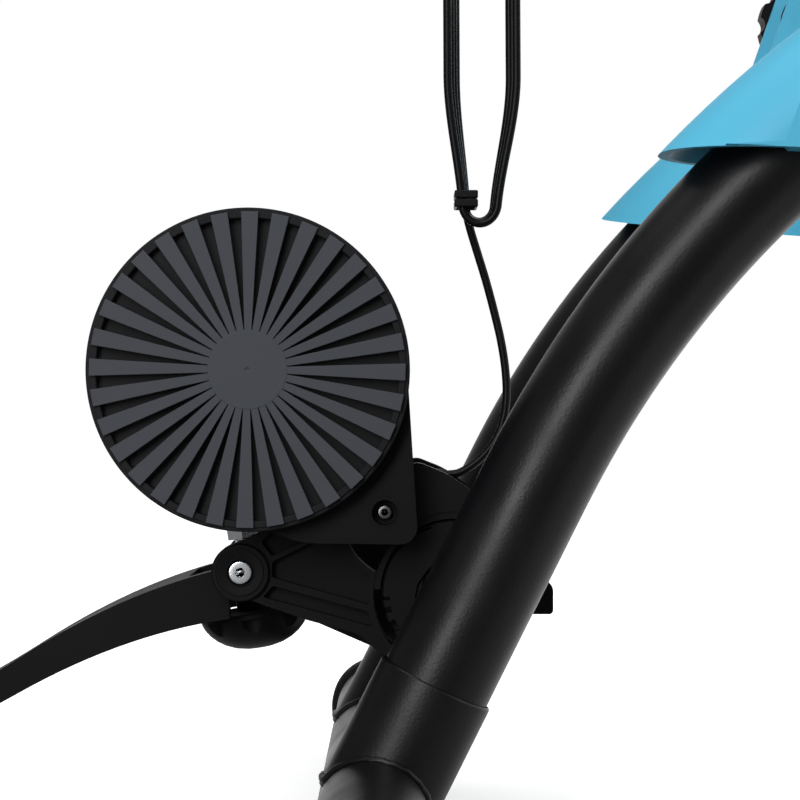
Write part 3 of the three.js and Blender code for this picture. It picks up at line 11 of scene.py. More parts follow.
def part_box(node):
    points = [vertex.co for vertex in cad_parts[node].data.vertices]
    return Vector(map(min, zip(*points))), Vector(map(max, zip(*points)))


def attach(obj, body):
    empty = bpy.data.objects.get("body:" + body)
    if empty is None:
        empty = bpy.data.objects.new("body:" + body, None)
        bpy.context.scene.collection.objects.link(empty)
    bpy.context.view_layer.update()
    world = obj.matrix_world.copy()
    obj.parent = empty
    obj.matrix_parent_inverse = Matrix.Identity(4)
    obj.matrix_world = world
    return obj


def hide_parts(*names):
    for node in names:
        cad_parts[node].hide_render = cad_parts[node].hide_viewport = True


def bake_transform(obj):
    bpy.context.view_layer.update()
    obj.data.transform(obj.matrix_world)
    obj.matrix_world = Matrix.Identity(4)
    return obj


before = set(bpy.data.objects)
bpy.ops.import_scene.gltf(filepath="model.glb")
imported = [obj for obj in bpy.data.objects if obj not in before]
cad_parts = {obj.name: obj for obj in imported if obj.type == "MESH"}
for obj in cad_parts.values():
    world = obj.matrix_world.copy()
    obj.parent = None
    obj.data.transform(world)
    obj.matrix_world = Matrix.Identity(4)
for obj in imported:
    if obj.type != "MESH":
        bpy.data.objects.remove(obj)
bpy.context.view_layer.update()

MM = 0.001
HOME_X = -149.077
ACROSS = Vector((0, 1, 0))
FORWARD = Vector((1, 0, 0))
UPWARD = Vector((0, 0, 1))
SIDES = {"right": -1, "left": 1}


def put(x, y, z):
    return Vector(((x + HOME_X) * MM, y * MM, z * MM))


def centre_of(node):
    low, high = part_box(node)
    return ((low[0] + high[0]) / 2 / MM - HOME_X, (low[2] + high[2]) / 2 / MM)


AXLE = centre_of("right_clamp_barrel")
ROLLER = centre_of("roller")
CROSSBAR = centre_of("unit_crossbar")
PIVOT = centre_of("pressure_barrel")
TILT = centre_of("right_tilt_bolt")
HINGE = centre_of("right_hinge_pin")
REAR_FOOT = centre_of("right_rear_foot_cap")

LEAN_DEGREES = 63.4
LEAN = math.radians(LEAN_DEGREES)
BEND = math.radians(26.4)
UP_THE_TUBE = Vector((math.cos(LEAN), 0, math.sin(LEAN)))
TUBE_TURN = UPWARD.rotation_difference(UP_THE_TUBE).to_matrix()
STRAIGHT = 165
BEND_RADIUS = 490
TUBE = 25
SPREAD = 111


def around(place, radius, degrees):
    turn = math.radians(degrees)
    return (place[0] + radius * math.cos(turn), place[1] + radius * math.sin(turn))


def arc(place, radius, start, end, steps):
    return [around(place, radius, start + (end - start) * i / steps) for i in range(steps + 1)]


BEND_START = around(REAR_FOOT, STRAIGHT, LEAN_DEGREES)
BEND_CENTRE = (
    BEND_START[0] + BEND_RADIUS * math.sin(LEAN), BEND_START[1] - BEND_RADIUS * math.cos(LEAN),
)


# Finishes

PATCH_SCALE = 22
PATCH_DETAIL = 5
SPECKLE_DETAIL = 2
SPECKLE_SHARE = 0.45
GRAIN_DEPTH = 0.0002
GLOSS_PLAY = 0.06


def add_node(tree, kind, **values):
    """A shader node; each value is set on the node itself or on its socket, where _ stands for a space."""
    node = tree.nodes.new("ShaderNode" + kind)
    for name, value in values.items():
        if hasattr(node, name):
            setattr(node, name, value)
        else:
            node.inputs[name.replace("_", " ")].default_value = value
    return node


def wire(source, output, target, socket):
    target.id_data.links.new(source.outputs[output], target.inputs[socket])


def finish(
    name, slot, colour, rough, metal=0.0, grain=900, relief=0.2, mottle=0.12, specular=0.5,
):
    """A finish with slight patches in its colour and gloss, and a fine grain."""
    material = bpy.data.materials.new(name)
    material["slot"] = slot
    material.use_nodes = True
    tree = material.node_tree
    shader = tree.nodes["Principled BSDF"]
    shader.inputs["Metallic"].default_value = metal
    shader.inputs["Specular IOR Level"].default_value = specular
    place = add_node(tree, "TexCoord")
    patches = add_node(tree, "TexNoise", Scale=PATCH_SCALE, Detail=PATCH_DETAIL)
    speckle = add_node(tree, "TexNoise", Scale=grain, Detail=SPECKLE_DETAIL)
    for noise in (patches, speckle):
        wire(place, "Object", noise, "Vector")
    blend = add_node(tree, "Mix", data_type="FLOAT", Factor=SPECKLE_SHARE)
    wire(patches, "Fac", blend, "A")
    wire(speckle, "Fac", blend, "B")
    dark = [channel * (1 - mottle) for channel in colour]
    light = [min(channel * (1 + mottle), 1) for channel in colour]
    tint = add_node(tree, "Mix", data_type="RGBA", A=(*dark, 1), B=(*light, 1))
    wire(blend, "Result", tint, "Factor")
    wire(tint, "Result", shader, "Base Color")
    gloss = add_node(
        tree, "MapRange", From_Min=0.3, From_Max=0.7, To_Min=rough - GLOSS_PLAY, To_Max=rough + GLOSS_PLAY,
    )
    wire(patches, "Fac", gloss, "Value")
    wire(gloss, "Result", shader, "Roughness")
    bump = add_node(tree, "Bump", Strength=relief, Distance=GRAIN_DEPTH)
    wire(speckle, "Fac", bump, "Height")
    wire(bump, "Normal", shader, "Normal")
    return material


POWDER_COAT = finish(
    "powder_coat", "powder_coated_steel", (0.002, 0.002, 0.0025), 0.38, grain=720, relief=0.42,
    specular=0.28,
)
MOULDED = finish(
    "moulded_black", "black_plastic", (0.0033, 0.0033, 0.004), 0.52, grain=1900, relief=0.24,
    specular=0.11,
)
COVER_GREY = finish(
    "cover_charcoal", "cover_plastic", (0.053, 0.057, 0.066), 0.58, grain=1700, relief=0.25,
    specular=0.15,
)
# Near-black copy of the cover plastic for the pan under the ribs: the rim is black of its own, but on the
# recess floors between the ribs the black is painted shade.
COVER_BLACK_AND_SHADE = finish(
    "cover_black_and_painted_shade", "cover_plastic", (0.0085, 0.0088, 0.01), 0.55, grain=1700, relief=0.22,
    specular=0.12,
)
BLUE = finish(
    "sky_blue", "blue_plastic", (0.082, 0.455, 0.665), 0.5, grain=1600, relief=0.16, mottle=0.05,
    specular=0.3,
)
ZINC = finish(
    "bright_zinc", "zinc_steel", (0.72, 0.74, 0.76), 0.26, metal=1.0, grain=700, relief=0.06,
    mottle=0.08,
)
# A darkened copy of the bright zinc for the tilt screw heads: the darkness is painted shade, not a plating
# of their own.
ZINC_WITH_PAINTED_SHADE = finish(
    "zinc_darkened_as_painted_shade", "zinc_steel", (0.13, 0.135, 0.14), 0.34, metal=1.0, grain=700, relief=0.08,
    mottle=0.1,
)
STEEL = finish(
    "bare_steel", "bare_steel", (0.5, 0.5, 0.51), 0.32, metal=1.0, grain=600, relief=0.08, mottle=0.1,
)
IRON = finish(
    "cast_iron", "cast_iron", (0.16, 0.165, 0.17), 0.55, metal=0.8, grain=500, relief=0.6, mottle=0.2,
)
CAST = finish(
    "painted_casting", "cast_aluminium", (0.012, 0.012, 0.0135), 0.55, grain=450, relief=0.5,
    mottle=0.2, specular=0.2,
)
TURNED = finish(
    "turned_aluminium", "roller_aluminium", (0.62, 0.63, 0.64), 0.33, metal=1.0, grain=350, relief=0.12,
    mottle=0.06,
)
RUBBER = finish(
    "foot_rubber", "foot_rubber", (0.013, 0.013, 0.0135), 0.75, grain=800, relief=0.4, specular=0.3,
)
SHEATH = finish(
    "cable_sheath", "cable_sheath", (0.0032, 0.0032, 0.0038), 0.4, grain=500, relief=0.1, specular=0.13,
)


# Shapes

def tidy(bm):
    bmesh.ops.remove_doubles(bm, verts=bm.verts, dist=0.000002)
    bmesh.ops.recalc_face_normals(bm, faces=bm.faces)
    return bm


def turned(centre, axis, profile, steps=72, ring=False):
    """A turned shape: profile pairs are the radius and the way along the axis from the centre."""
    bm = bmesh.new()
    out = axis.orthogonal().normalized()
    corners = [bm.verts.new(centre + (axis * along + out * radius) * MM) for radius, along in profile]
    ends = list(zip(corners, corners[1:]))
    if ring:
        ends.append((corners[-1], corners[0]))
    edges = [bm.edges.new(pair) for pair in ends]
    bmesh.ops.spin(
        bm, geom=corners + edges, cent=centre, axis=axis, angle=2 * math.pi, steps=steps,
        use_merge=True,
    )
    return tidy(bm)


def turned_across(place, profile, steps=72, ring=False):
    return turned(put(place[0], 0, place[1]), ACROSS, profile, steps, ring)


def washer(place, outer, inner, low, high, steps=72):
    return turned_across(
        place, [(inner, low), (outer, low), (outer, high), (inner, high)], steps, ring=True,
    )


def round_bar(place, radius, low, high, steps=72):
    return turned_across(place, [(0, low), (radius, low), (radius, high), (0, high)], steps)


def rod(start, end, radius, steps=48):
    axis = (end - start).normalized()
    length = (end - start).length / MM
    return turned(start, axis, [(0, 0), (radius, 0), (radius, length), (0, length)], steps)


def slab(corners, thickness):
    """A flat outline of points and corner radii, made thick along a vector."""
    bm = bmesh.new()
    points = [bm.verts.new(point) for point, _ in corners]
    bm.faces.new(points)
    for radius in sorted({radius for _, radius in corners if radius}):
        chosen = [point for point, (_, own) in zip(points, corners) if own == radius]
        bmesh.ops.bevel(
            bm, geom=chosen, offset=radius * MM, segments=6, profile=0.5, affect="VERTICES", material=-1,
            clamp_overlap=True,
        )
    thick = bmesh.ops.extrude_face_region(bm, geom=list(bm.faces))
    moved = [item for item in thick["geom"] if isinstance(item, bmesh.types.BMVert)]
    bmesh.ops.translate(bm, verts=moved, vec=thickness)
    return tidy(bm)


def plate(corners, low, high):
    """A plate cut to an outline in the side view; a third number rounds that corner."""
    outline = [(put(x, low, z), radius[0] if radius else 0) for x, z, *radius in corners]
    return slab(outline, ACROSS * (high - low) * MM)


def box(low, high):
    bm = bmesh.new()
    bmesh.ops.create_cube(bm, size=1)
    start = put(*low)
    end = put(*high)
    bmesh.ops.scale(bm, vec=end - start, verts=bm.verts)
    bmesh.ops.translate(bm, vec=(start + end) / 2, verts=bm.verts)
    return bm


def mirrored(bm):
    copy = bm.copy()
    bmesh.ops.scale(copy, vec=(1, -1, 1), verts=copy.verts)
    bmesh.ops.recalc_face_normals(copy, faces=copy.faces)
    return copy


def on_side(bm, side):
    return mirrored(bm) if side < 0 else bm


def both_sides(*shape):
    """A turned shape across the unit, given for the left, and its mirror image."""
    return [on_side(turned_across(*shape), side) for side in (-1, 1)]


def together(*parts):
    """Several closed shapes in one mesh, left as they are."""
    whole = bmesh.new()
    for part in parts:
        mesh = bpy.data.meshes.new("part")
        part.to_mesh(mesh)
        whole.from_mesh(mesh)
        bpy.data.meshes.remove(mesh)
        part.free()
    return whole


def add_object(name, data):
    obj = bpy.data.objects.new(name, data)
    bpy.context.scene.collection.objects.link(obj)
    return obj


def work_object(bm):
    mesh = bpy.data.meshes.new("work")
    bm.to_mesh(mesh)
    return add_object("work", mesh)


def shape_of(obj):
    """The shape of an object with its modifiers worked in."""
    bpy.context.view_layer.update()
    mesh = bpy.data.meshes.new_from_object(obj.evaluated_get(bpy.context.evaluated_depsgraph_get()))
    bm = bmesh.new()
    bm.from_mesh(mesh)
    bpy.data.meshes.remove(mesh)
    return bm


def combined(base, tools, operation):
    first = work_object(base)
    others = [work_object(tool) for tool in tools]
    for other in others:
        step = first.modifiers.new("step", "BOOLEAN")
        step.operation = operation
        step.solver = "EXACT"
        step.object = other
    result = shape_of(first)
    for obj in [first, *others]:
        old = obj.data
        bpy.data.objects.remove(obj)
        bpy.data.meshes.remove(old)
    for bm in [base, *tools]:
        bm.free()
    bmesh.ops.dissolve_degenerate(result, dist=0.0000002, edges=result.edges)
    return result


def cut(base, *tools):
    return combined(base, tools, "DIFFERENCE")


def join(base, *tools):
    return combined(base, tools, "UNION")


def piece(name, bm, material, body, *replaces, edge=0.0, angle=32):
    mesh = bpy.data.meshes.new(name)
    bm.to_mesh(mesh)
    bm.free()
    mesh.materials.append(material)
    obj = add_object(name, mesh)
    mesh.polygons.foreach_set("use_smooth", [True] * len(mesh.polygons))
    mesh.set_sharp_from_angle(angle=math.radians(angle))
    if edge:
        rounding = obj.modifiers.new("edges", "BEVEL")
        rounding.width = edge * MM
        rounding.segments = 2
        rounding.limit_method = "ANGLE"
        rounding.angle_limit = math.radians(angle)
        rounding.harden_normals = True
        flats = obj.modifiers.new("flats", "WEIGHTED_NORMAL")
        flats.keep_sharp = True
    if body:
        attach(obj, body)
    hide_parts(*replaces)
    return obj


def handed(hand, name, bm, material, body, node, edge=0.0):
    """A piece of the right or the left side, from its shape for the left."""
    shape = on_side(bm, SIDES[hand])
    piece(f"{hand}_{name}", shape, material, body, f"{hand}_{node}", edge=edge)


# Camera, at the photograph's height and distance

CAMERA_AWAY = 1232
CAMERA_HEIGHT = 212
LENS = 112.5
SENSOR = 36


def make_camera():
    lens = bpy.data.cameras.new("camera")
    lens.lens = LENS
    lens.sensor_width = SENSOR
    camera = add_object("camera", lens)
    camera.location = put(0, -CAMERA_AWAY, CAMERA_HEIGHT)
    camera.rotation_euler = (math.radians(90), 0, 0)
    bpy.context.scene.camera = camera


make_camera()


# Brake cable: the lead from its gland, the hank in its tie, and the upper lead to the remote shifter

CABLE = 2
HANK = (39, -42, 358)
HANK_RUN = 47
HANK_BEND = 12.2
HANK_STEP = 1.4
HANK_PITCH = -4.9
HANK_TURNS = 3
HANK_STEPS = 420
HANK_SHIFT = 1.4
HANK_LEAN_TOP = 365
HANK_LEAN_RUN = 72
HANK_LEAN_SHARE = 0.52
HANK_SAG = 7.5
HANK_SAG_RUN = 30
HANK_TURN_SHARE = 0.52
GLAND_HEIGHT = 176.4
SHIFTER_NEAR = -124.3
SHIFTER_FAR = -102.7
BARREL = 16
STRAP_GAP = 0.3
STRAP_THICK = 2.4
LEAD_ROUTE = [
    (22.6, -37, GLAND_HEIGHT), (27.5, -37, 177), (32, -37, 179.2), (36.5, -37, 182.4),
    (41.5, -37, 187.2), (46.6, -37, 194.6), (49.6, -37, 203.5), (50.9, -37, 214), (50.4, -37, 226),
    (48.4, -37, 239.5), (45.3, -37, 253), (41, -38, 269), (36.5, -39.5, 283.5), (33.4, -41, 293.5),
    (31.9, -41.8, 299.5), (31.5, -42, 303.2),
]
SHIFTER_ROUTE = [
    (44.3, -58.5, 421.7), (52, -58.6, 421.7), (72, -61, 423), (98, -69, 428), (126, -81, 435),
    (154, -94.5, 440.5), (180, -107.5, 442.8), (195, -113, 442.8), (202.5, -113.5, 442.8),
]


def smooth_route(points, steps):
    """Centripetal curve through the points, with a few steps between each two."""
    spots = [Vector(point) for point in points]
    spots = [spots[0] * 2 - spots[1], *spots, spots[-1] * 2 - spots[-2]]
    route = []
    for a, b, c, d in zip(spots, spots[1:], spots[2:], spots[3:]):
        t1 = (b - a).length ** 0.5
        t2 = t1 + (c - b).length ** 0.5
        t3 = t2 + (d - c).length ** 0.5
        for i in range(steps):
            t = t1 + (t2 - t1) * i / steps
            ab = a * ((t1 - t) / t1) + b * (t / t1)
            bc = b * ((t2 - t) / (t2 - t1)) + c * ((t - t1) / (t2 - t1))
            cd = c * ((t3 - t) / (t3 - t2)) + d * ((t - t2) / (t3 - t2))
            abc = ab * ((t2 - t) / t2) + bc * (t / t2)
            bcd = bc * ((t3 - t) / (t3 - t1)) + cd * ((t - t1) / (t3 - t1))
            route.append(abc * ((t2 - t) / (t2 - t1)) + bcd * ((t - t1) / (t2 - t1)))
    route.append(spots[-2])
    return route


def drawn_in(x, y, z):
    """A point of the hank, moved down and inwards where the tie draws the lower half together."""
    bend_height = HANK[2] - HANK_RUN
    if z < bend_height:
        z = bend_height - HANK_SAG - (bend_height - z) * HANK_TURN_SHARE
    else:
        z -= HANK_SAG * max(1 - (z - bend_height) / HANK_SAG_RUN, 0)
    share = min(max((HANK_LEAN_TOP - z) / HANK_LEAN_RUN, 0), 1)
    pull = share * share * (3 - 2 * share)
    return Vector((HANK[0] - HANK_SHIFT * pull + (x - HANK[0]) * (1 - HANK_LEAN_SHARE * pull), y, z))


def hank_point(turn):
    wide = HANK_BEND + HANK_STEP * turn
    bend = math.pi * wide
    run = HANK_RUN * 2
    along = (turn - math.floor(turn)) * 2 * (bend + run)
    y = HANK[1] + HANK_PITCH * turn
    if along < run:
        return drawn_in(HANK[0] - wide, y, HANK[2] - HANK_RUN + along)
    if along < run + bend:
        angle = math.pi - (along - run) / wide
        return drawn_in(HANK[0] + wide * math.cos(angle), y, HANK[2] + HANK_RUN + wide * math.sin(angle))
    if along < 2 * run + bend:
        return drawn_in(HANK[0] + wide, y, HANK[2] + HANK_RUN - (along - run - bend))
    angle = -(along - 2 * run - bend) / wide
    return drawn_in(HANK[0] + wide * math.cos(angle), y, HANK[2] - HANK_RUN + wide * math.sin(angle))


def hank_route():
    """Whole turns of the hank and then up to the top of the next one, where the cable leaves it."""
    last_bend = math.pi * (HANK_BEND + HANK_STEP * (HANK_TURNS + 0.5))
    run = 2 * HANK_RUN
    end = HANK_TURNS + (run + last_bend / 2) / (2 * (last_bend + run))
    return [hank_point(end * i / HANK_STEPS) for i in range(HANK_STEPS + 1)]


def tube_along(name, route, radius, sides=5):
    curve = bpy.data.curves.new(name, "CURVE")
    curve.dimensions = "3D"
    curve.bevel_depth = radius * MM
    curve.bevel_resolution = sides
    curve.use_fill_caps = True
    spline = curve.splines.new("POLY")
    spline.points.add(len(route) - 1)
    for spot, point in zip(spline.points, route):
        spot.co = (*put(*point), 1)
    holder = add_object(name, curve)
    bm = shape_of(holder)
    bpy.data.objects.remove(holder)
    bpy.data.curves.remove(curve)
    return tidy(bm)


def brake_cable():
    route = smooth_route(LEAD_ROUTE, 5)[:-1] + hank_route() + smooth_route(SHIFTER_ROUTE, 5)
    cable = piece(
        "brake_cable", tube_along("brake_cable", route, CABLE), SHEATH, None,
        "cable_lead", "cable_hank", "cable_to_shifter", angle=60,
    )
    return cable, route


def cable_tie():
    """A strap wound twice round the hank and the lead, pinched between its turns."""
    thick = 1.3
    left = HANK[0] - 12.1
    right = HANK[0] - 3.7
    near = HANK[1] + HANK_PITCH * HANK_TURNS - CABLE - 0.5
    far = HANK[1] + CABLE + 0.5
    low = HANK[2] - 55.5
    turns = []
    for base in (low, low + 4.2):
        outer = box((left - thick, near - thick, base), (right + thick, far + thick, base + 3.8))
        hollow = box((left, near, base - 1), (right, far, base + 5))
        turns.append(cut(outer, hollow))
    return piece("cable_strap", together(*turns), SHEATH, "rear_frame", "cable_tie", edge=1.7, angle=40)


def gland():
    tip, lead_y, height = LEAD_ROUTE[0]
    sleeve = turned(put(tip - 30.3, lead_y, height), FORWARD, [
        (0, 0), (4.2, 0), (4.2, 6), (3.5, 6.6), (3.7, 8.4), (3.4, 9.4), (3.6, 11.4), (3.3, 12.4),
        (3.5, 14.4), (3.2, 15.4), (3.4, 17.4), (3.1, 18.4), (3.3, 20.4), (2.95, 21.4), (3.1, 23.4),
        (2.75, 24.4), (2.85, 28.8), (2.2, 30.25), (0, 30.25),
    ], 40)
    block = box((tip - 21.3, lead_y - 5.7, height - 4.2), (tip - 6.3, lead_y, height + 1.6))
    return piece(
        "cable_strain_relief", together(sleeve, block), RUBBER, "swing_bracket", "cable_gland",
        edge=0.4,
    )


def shifter():
    x = AXLE[0]
    top = AXLE[1] + BARREL + STRAP_GAP + STRAP_THICK
    housing = plate([
        (x - 23, top - STRAP_GAP, 1), (x + 23, top - STRAP_GAP, 1), (x + 23, top + 9, 3),
        (x + 11.5, top + 20, 5), (x - 11.5, top + 20, 5), (x - 23, top + 9, 3),
    ], SHIFTER_NEAR, SHIFTER_FAR)
    strap = washer(AXLE, 18.6, 16.4, SHIFTER_NEAR + 3, SHIFTER_FAR - 3)
    body = piece(
        "shifter_housing", together(housing, strap), MOULDED, "rear_frame", "shifter_body", edge=0.8,
    )
    pivot = (x, top + 10)
    tip = around(pivot, 26, 62)
    blade = plate([
        (pivot[0] - 6, pivot[1], 1), (pivot[0] + 5, pivot[1] - 1, 1), (tip[0] + 3.6, tip[1] - 0.5, 3.2),
        (tip[0] - 3.6, tip[1], 3.2),
    ], SHIFTER_NEAR - 5.3, SHIFTER_NEAR - 0.6)
    hub = turned_across(pivot, [
        (0, SHIFTER_NEAR - 5.3), (6.6, SHIFTER_NEAR - 5.3), (7.8, SHIFTER_NEAR - 4.3),
        (7.8, SHIFTER_NEAR - 0.6), (0, SHIFTER_NEAR - 0.6),
    ])
    lever = piece(
        "shifter_thumb_lever", together(blade, hub), MOULDED, "shift_lever", "shifter_lever", edge=0.8,
    )
    return body, lever


cable, cable_route = brake_cable()
tie = cable_tie()
gland()
shifter_parts = shifter()


# Floor frame

SOCKET_FLOOR = 26
TUBE_WALL = 1.8
TUBE_STEPS = 30
TUBE_ROOM = 25.3
SOCKET = 26.9
BAR_HALF = 264
WELD_STEPS = 72
WELD_RIPPLES = 46


def bent_tube(y, front):
    """A tube that stands on the floor bar, straight at first and then bent about the bend's centre."""
    bm = bmesh.new()
    ring = bmesh.ops.create_circle(bm, radius=TUBE * MM, segments=72, cap_ends=False)["verts"]
    bmesh.ops.rotate(bm, verts=ring, cent=(0, 0, 0), matrix=TUBE_TURN)
    foot = put(REAR_FOOT[0], y, REAR_FOOT[1])
    bmesh.ops.translate(bm, verts=ring, vec=foot + UP_THE_TUBE * SOCKET_FLOOR * MM)
    edges = list(bm.edges)
    for share in (0.02, 0.98):
        straight = bmesh.ops.extrude_edge_only(bm, edges=edges)["geom"]
        moved = [item for item in straight if isinstance(item, bmesh.types.BMVert)]
        bmesh.ops.translate(bm, verts=moved, vec=UP_THE_TUBE * (STRAIGHT - SOCKET_FLOOR) * share * MM)
        grown = [item for item in straight if isinstance(item, bmesh.types.BMEdge)]
        edges = [edge for edge in grown if all(corner in moved for corner in edge.verts)]
    bmesh.ops.spin(
        bm, geom=moved + edges, cent=put(BEND_CENTRE[0], y, BEND_CENTRE[1]), axis=ACROSS, angle=BEND,
        steps=TUBE_STEPS,
    )
    if front:
        to_front(bm)
    return tidy(bm)


def to_front(bm):
    middle = put(HINGE[0], 0, 0).x
    bmesh.ops.scale(bm, vec=(-1, 1, 1), verts=bm.verts)
    bmesh.ops.translate(bm, vec=(2 * middle, 0, 0), verts=bm.verts)
    bmesh.ops.recalc_face_normals(bm, faces=bm.faces)


def upright(hand, side, front):
    word = "front" if front else "rear"
    obj = piece(
        f"{hand}_{word}_upright_tube", bent_tube(side * SPREAD, front), POWDER_COAT, f"{word}_frame",
        f"{hand}_{word}_upright", angle=60,
    )
    wall = obj.modifiers.new("wall", "SOLIDIFY")
    wall.thickness = TUBE_WALL * MM
    wall.offset = -1


def floor_bar(front):
    word = "front" if front else "rear"
    parts = [washer(REAR_FOOT, TUBE, 23.2, -BAR_HALF, BAR_HALF, 80)]
    for side in (-1, 1):
        base = put(REAR_FOOT[0], side * SPREAD, REAR_FOOT[1])
        parts.append(turned(base, UP_THE_TUBE, [
            (TUBE_ROOM, 0), (SOCKET, 0), (SOCKET, 62.8), (26.5, 63.6), (25.8, 64), (TUBE_ROOM, 63.7),
        ], 80, ring=True))
        parts.append(weld(side))
    bar = together(*parts)
    if front:
        to_front(bar)
    piece(
        f"{word}_floor_bar_tube", bar, POWDER_COAT, f"{word}_frame", f"{word}_floor_bar",
        edge=0.25, angle=50,
    )


def weld(side):
    """Weld bead where the socket meets the bar: it rides the saddle line of the two tubes."""
    out = Vector((-math.sin(LEAN), 0, math.cos(LEAN)))
    route = []
    for i in range(WELD_STEPS + 1):
        turn = 2 * math.pi * i / WELD_STEPS
        aside = SOCKET * math.sin(turn)
        height = math.sqrt(max(25.6 ** 2 - min(abs(aside), 25.4) ** 2, 0))
        spot = UP_THE_TUBE * (height + 0.25 * math.sin(turn * WELD_RIPPLES)) + out * aside
        y = side * SPREAD + SOCKET * math.cos(turn)
        route.append(Vector((REAR_FOOT[0] + spot.x, y, REAR_FOOT[1] + spot.z)))
    return tube_along("weld", route, 1.7, 3)


def foot_cap(hand, side, front):
    word = "front" if front else "rear"
    profile = [
        (0, 243), (22.6, 243), (22.6, 264.4), (27.4, 264.4), (28.5, 265.6), (28.5, 268.4), (27.6, 269),
        (27.6, 270.2), (28.5, 270.8), (28.5, 273.2), (27.6, 273.8), (27.6, 275), (28.5, 275.6),
        (28.5, 278.6), (27.6, 280.9), (25.6, 282.6), (23.4, 282.8), (22.6, 281.6), (0, 281.6),
    ]
    cap = on_side(turned_across(REAR_FOOT, profile, 84), side)
    if front:
        to_front(cap)
    piece(
        f"{hand}_{word}_foot_cap_rubber", cap, RUBBER, f"{word}_frame", f"{hand}_{word}_foot_cap",
        edge=0.35,
    )


def crossbar():
    bar = washer(CROSSBAR, 16, 14, -86.5, 86.5, 64)
    ends = both_sides(CROSSBAR, [(0, 82), (16, 82), (16.2, 92), (0, 92)], 64)
    piece(
        "unit_crossbar_tube", together(bar, *ends), POWDER_COAT, "rear_frame", "unit_crossbar",
        edge=0.3,
    )


for front in (False, True):
    floor_bar(front)
    for hand, side in SIDES.items():
        upright(hand, side, front)
        foot_cap(hand, side, front)
crossbar()


# Hinge shrouds and the knuckles of the front legs

SHROUD_LOW = 77
SHROUD_HIGH = 150
SHROUD_ROUND = 34
SHROUD_WALL = 3.7
EAR_WALL = 5
ROOM_DEEP = 44
SWEEP_STEPS = 20
BAY_BACK = -29
BAY_FRONT = -124
PIN_BORE = 6.3
TOP_LEAN = LEAN - BEND
LAP = 0.0006
CUTTER_SIZE = 700
CUTTER_DEPTH = 400


def on_bend(out, lean):
    """Place in the side view so far outside the bend's middle line, at a lean of the tube."""
    x = BEND_CENTRE[0] - (BEND_RADIUS + out) * math.sin(lean)
    return x, BEND_CENTRE[1] + (BEND_RADIUS + out) * math.cos(lean)


def swept(section, start, end, front=False):
    """A closed section of steps out from the bend and across, carried along the bend of the tubes."""
    bm = bmesh.new()
    points = []
    for out, y in section:
        x, z = on_bend(out, start)
        points.append(bm.verts.new(put(x, y, z)))
    face = bm.faces.new(points)
    bmesh.ops.spin(
        bm, geom=[face, *face.edges, *points], cent=put(BEND_CENTRE[0], 0, BEND_CENTRE[1]), axis=ACROSS,
        angle=start - end, steps=SWEEP_STEPS,
    )
    tidy(bm)
    if front:
        to_front(bm)
    return bm


def sleeve_section(inset, behind, ahead):
    radius = SHROUD_ROUND - inset
    low = SHROUD_LOW + inset
    high = SHROUD_HIGH - inset
    seat = behind - inset - radius
    turns = [math.pi / 2 * i / 10 for i in range(11)]
    section = [(inset - ahead, low)]
    section += [(seat + radius * math.sin(a), low + radius - radius * math.cos(a)) for a in turns]
    section += [(seat + radius * math.cos(a), high - radius + radius * math.sin(a)) for a in turns]
    section.append((inset - ahead, high))
    return section


def tube_room(y, front=False):
    """The room that a bent tube takes, open-ended past its top."""
    bm = bmesh.new()
    bmesh.ops.create_circle(bm, radius=TUBE_ROOM * MM, segments=64, cap_ends=True)
    bmesh.ops.rotate(bm, verts=bm.verts, cent=(0, 0, 0), matrix=TUBE_TURN)
    bmesh.ops.translate(bm, verts=bm.verts, vec=put(BEND_START[0], y, BEND_START[1]))
    bmesh.ops.spin(
        bm, geom=[*bm.faces, *bm.edges, *bm.verts], cent=put(BEND_CENTRE[0], y, BEND_CENTRE[1]),
        axis=ACROSS, angle=BEND + LAP, steps=TUBE_STEPS,
    )
    tidy(bm)
    if front:
        to_front(bm)
    return bm


def mouth_cutter(point, slope_x, slope_y):
    """All that lies under the plane of a shroud's mouth."""
    bm = bmesh.new()
    bmesh.ops.create_cube(bm, size=1)
    for corner in bm.verts:
        x = corner.co.x * CUTTER_SIZE
        y = corner.co.y * CUTTER_SIZE
        top = point[2] + slope_x * x + slope_y * y if corner.co.z > 0 else point[2] - CUTTER_DEPTH
        corner.co = put(point[0] + x, point[1] + y, top)
    bmesh.ops.recalc_face_normals(bm, faces=bm.faces)
    return bm


def ear(mouth, behind, low, high):
    rear_lean = math.acos((mouth - BEND_CENTRE[1]) / (BEND_RADIUS + behind))
    flat = behind - SHROUD_ROUND
    corners = [(on_bend(flat, rear_lean)[0], mouth), on_bend(flat, TOP_LEAN + ROOM_DEEP / BEND_RADIUS)]
    corners += arc(AXLE, 23, 140, -5, 24)
    corners += arc(HINGE, 19, 8, -95, 18)
    corners.append((HINGE[0] - 19, min(mouth, HINGE[1] - 9.5)))
    return plate(corners, low, high)


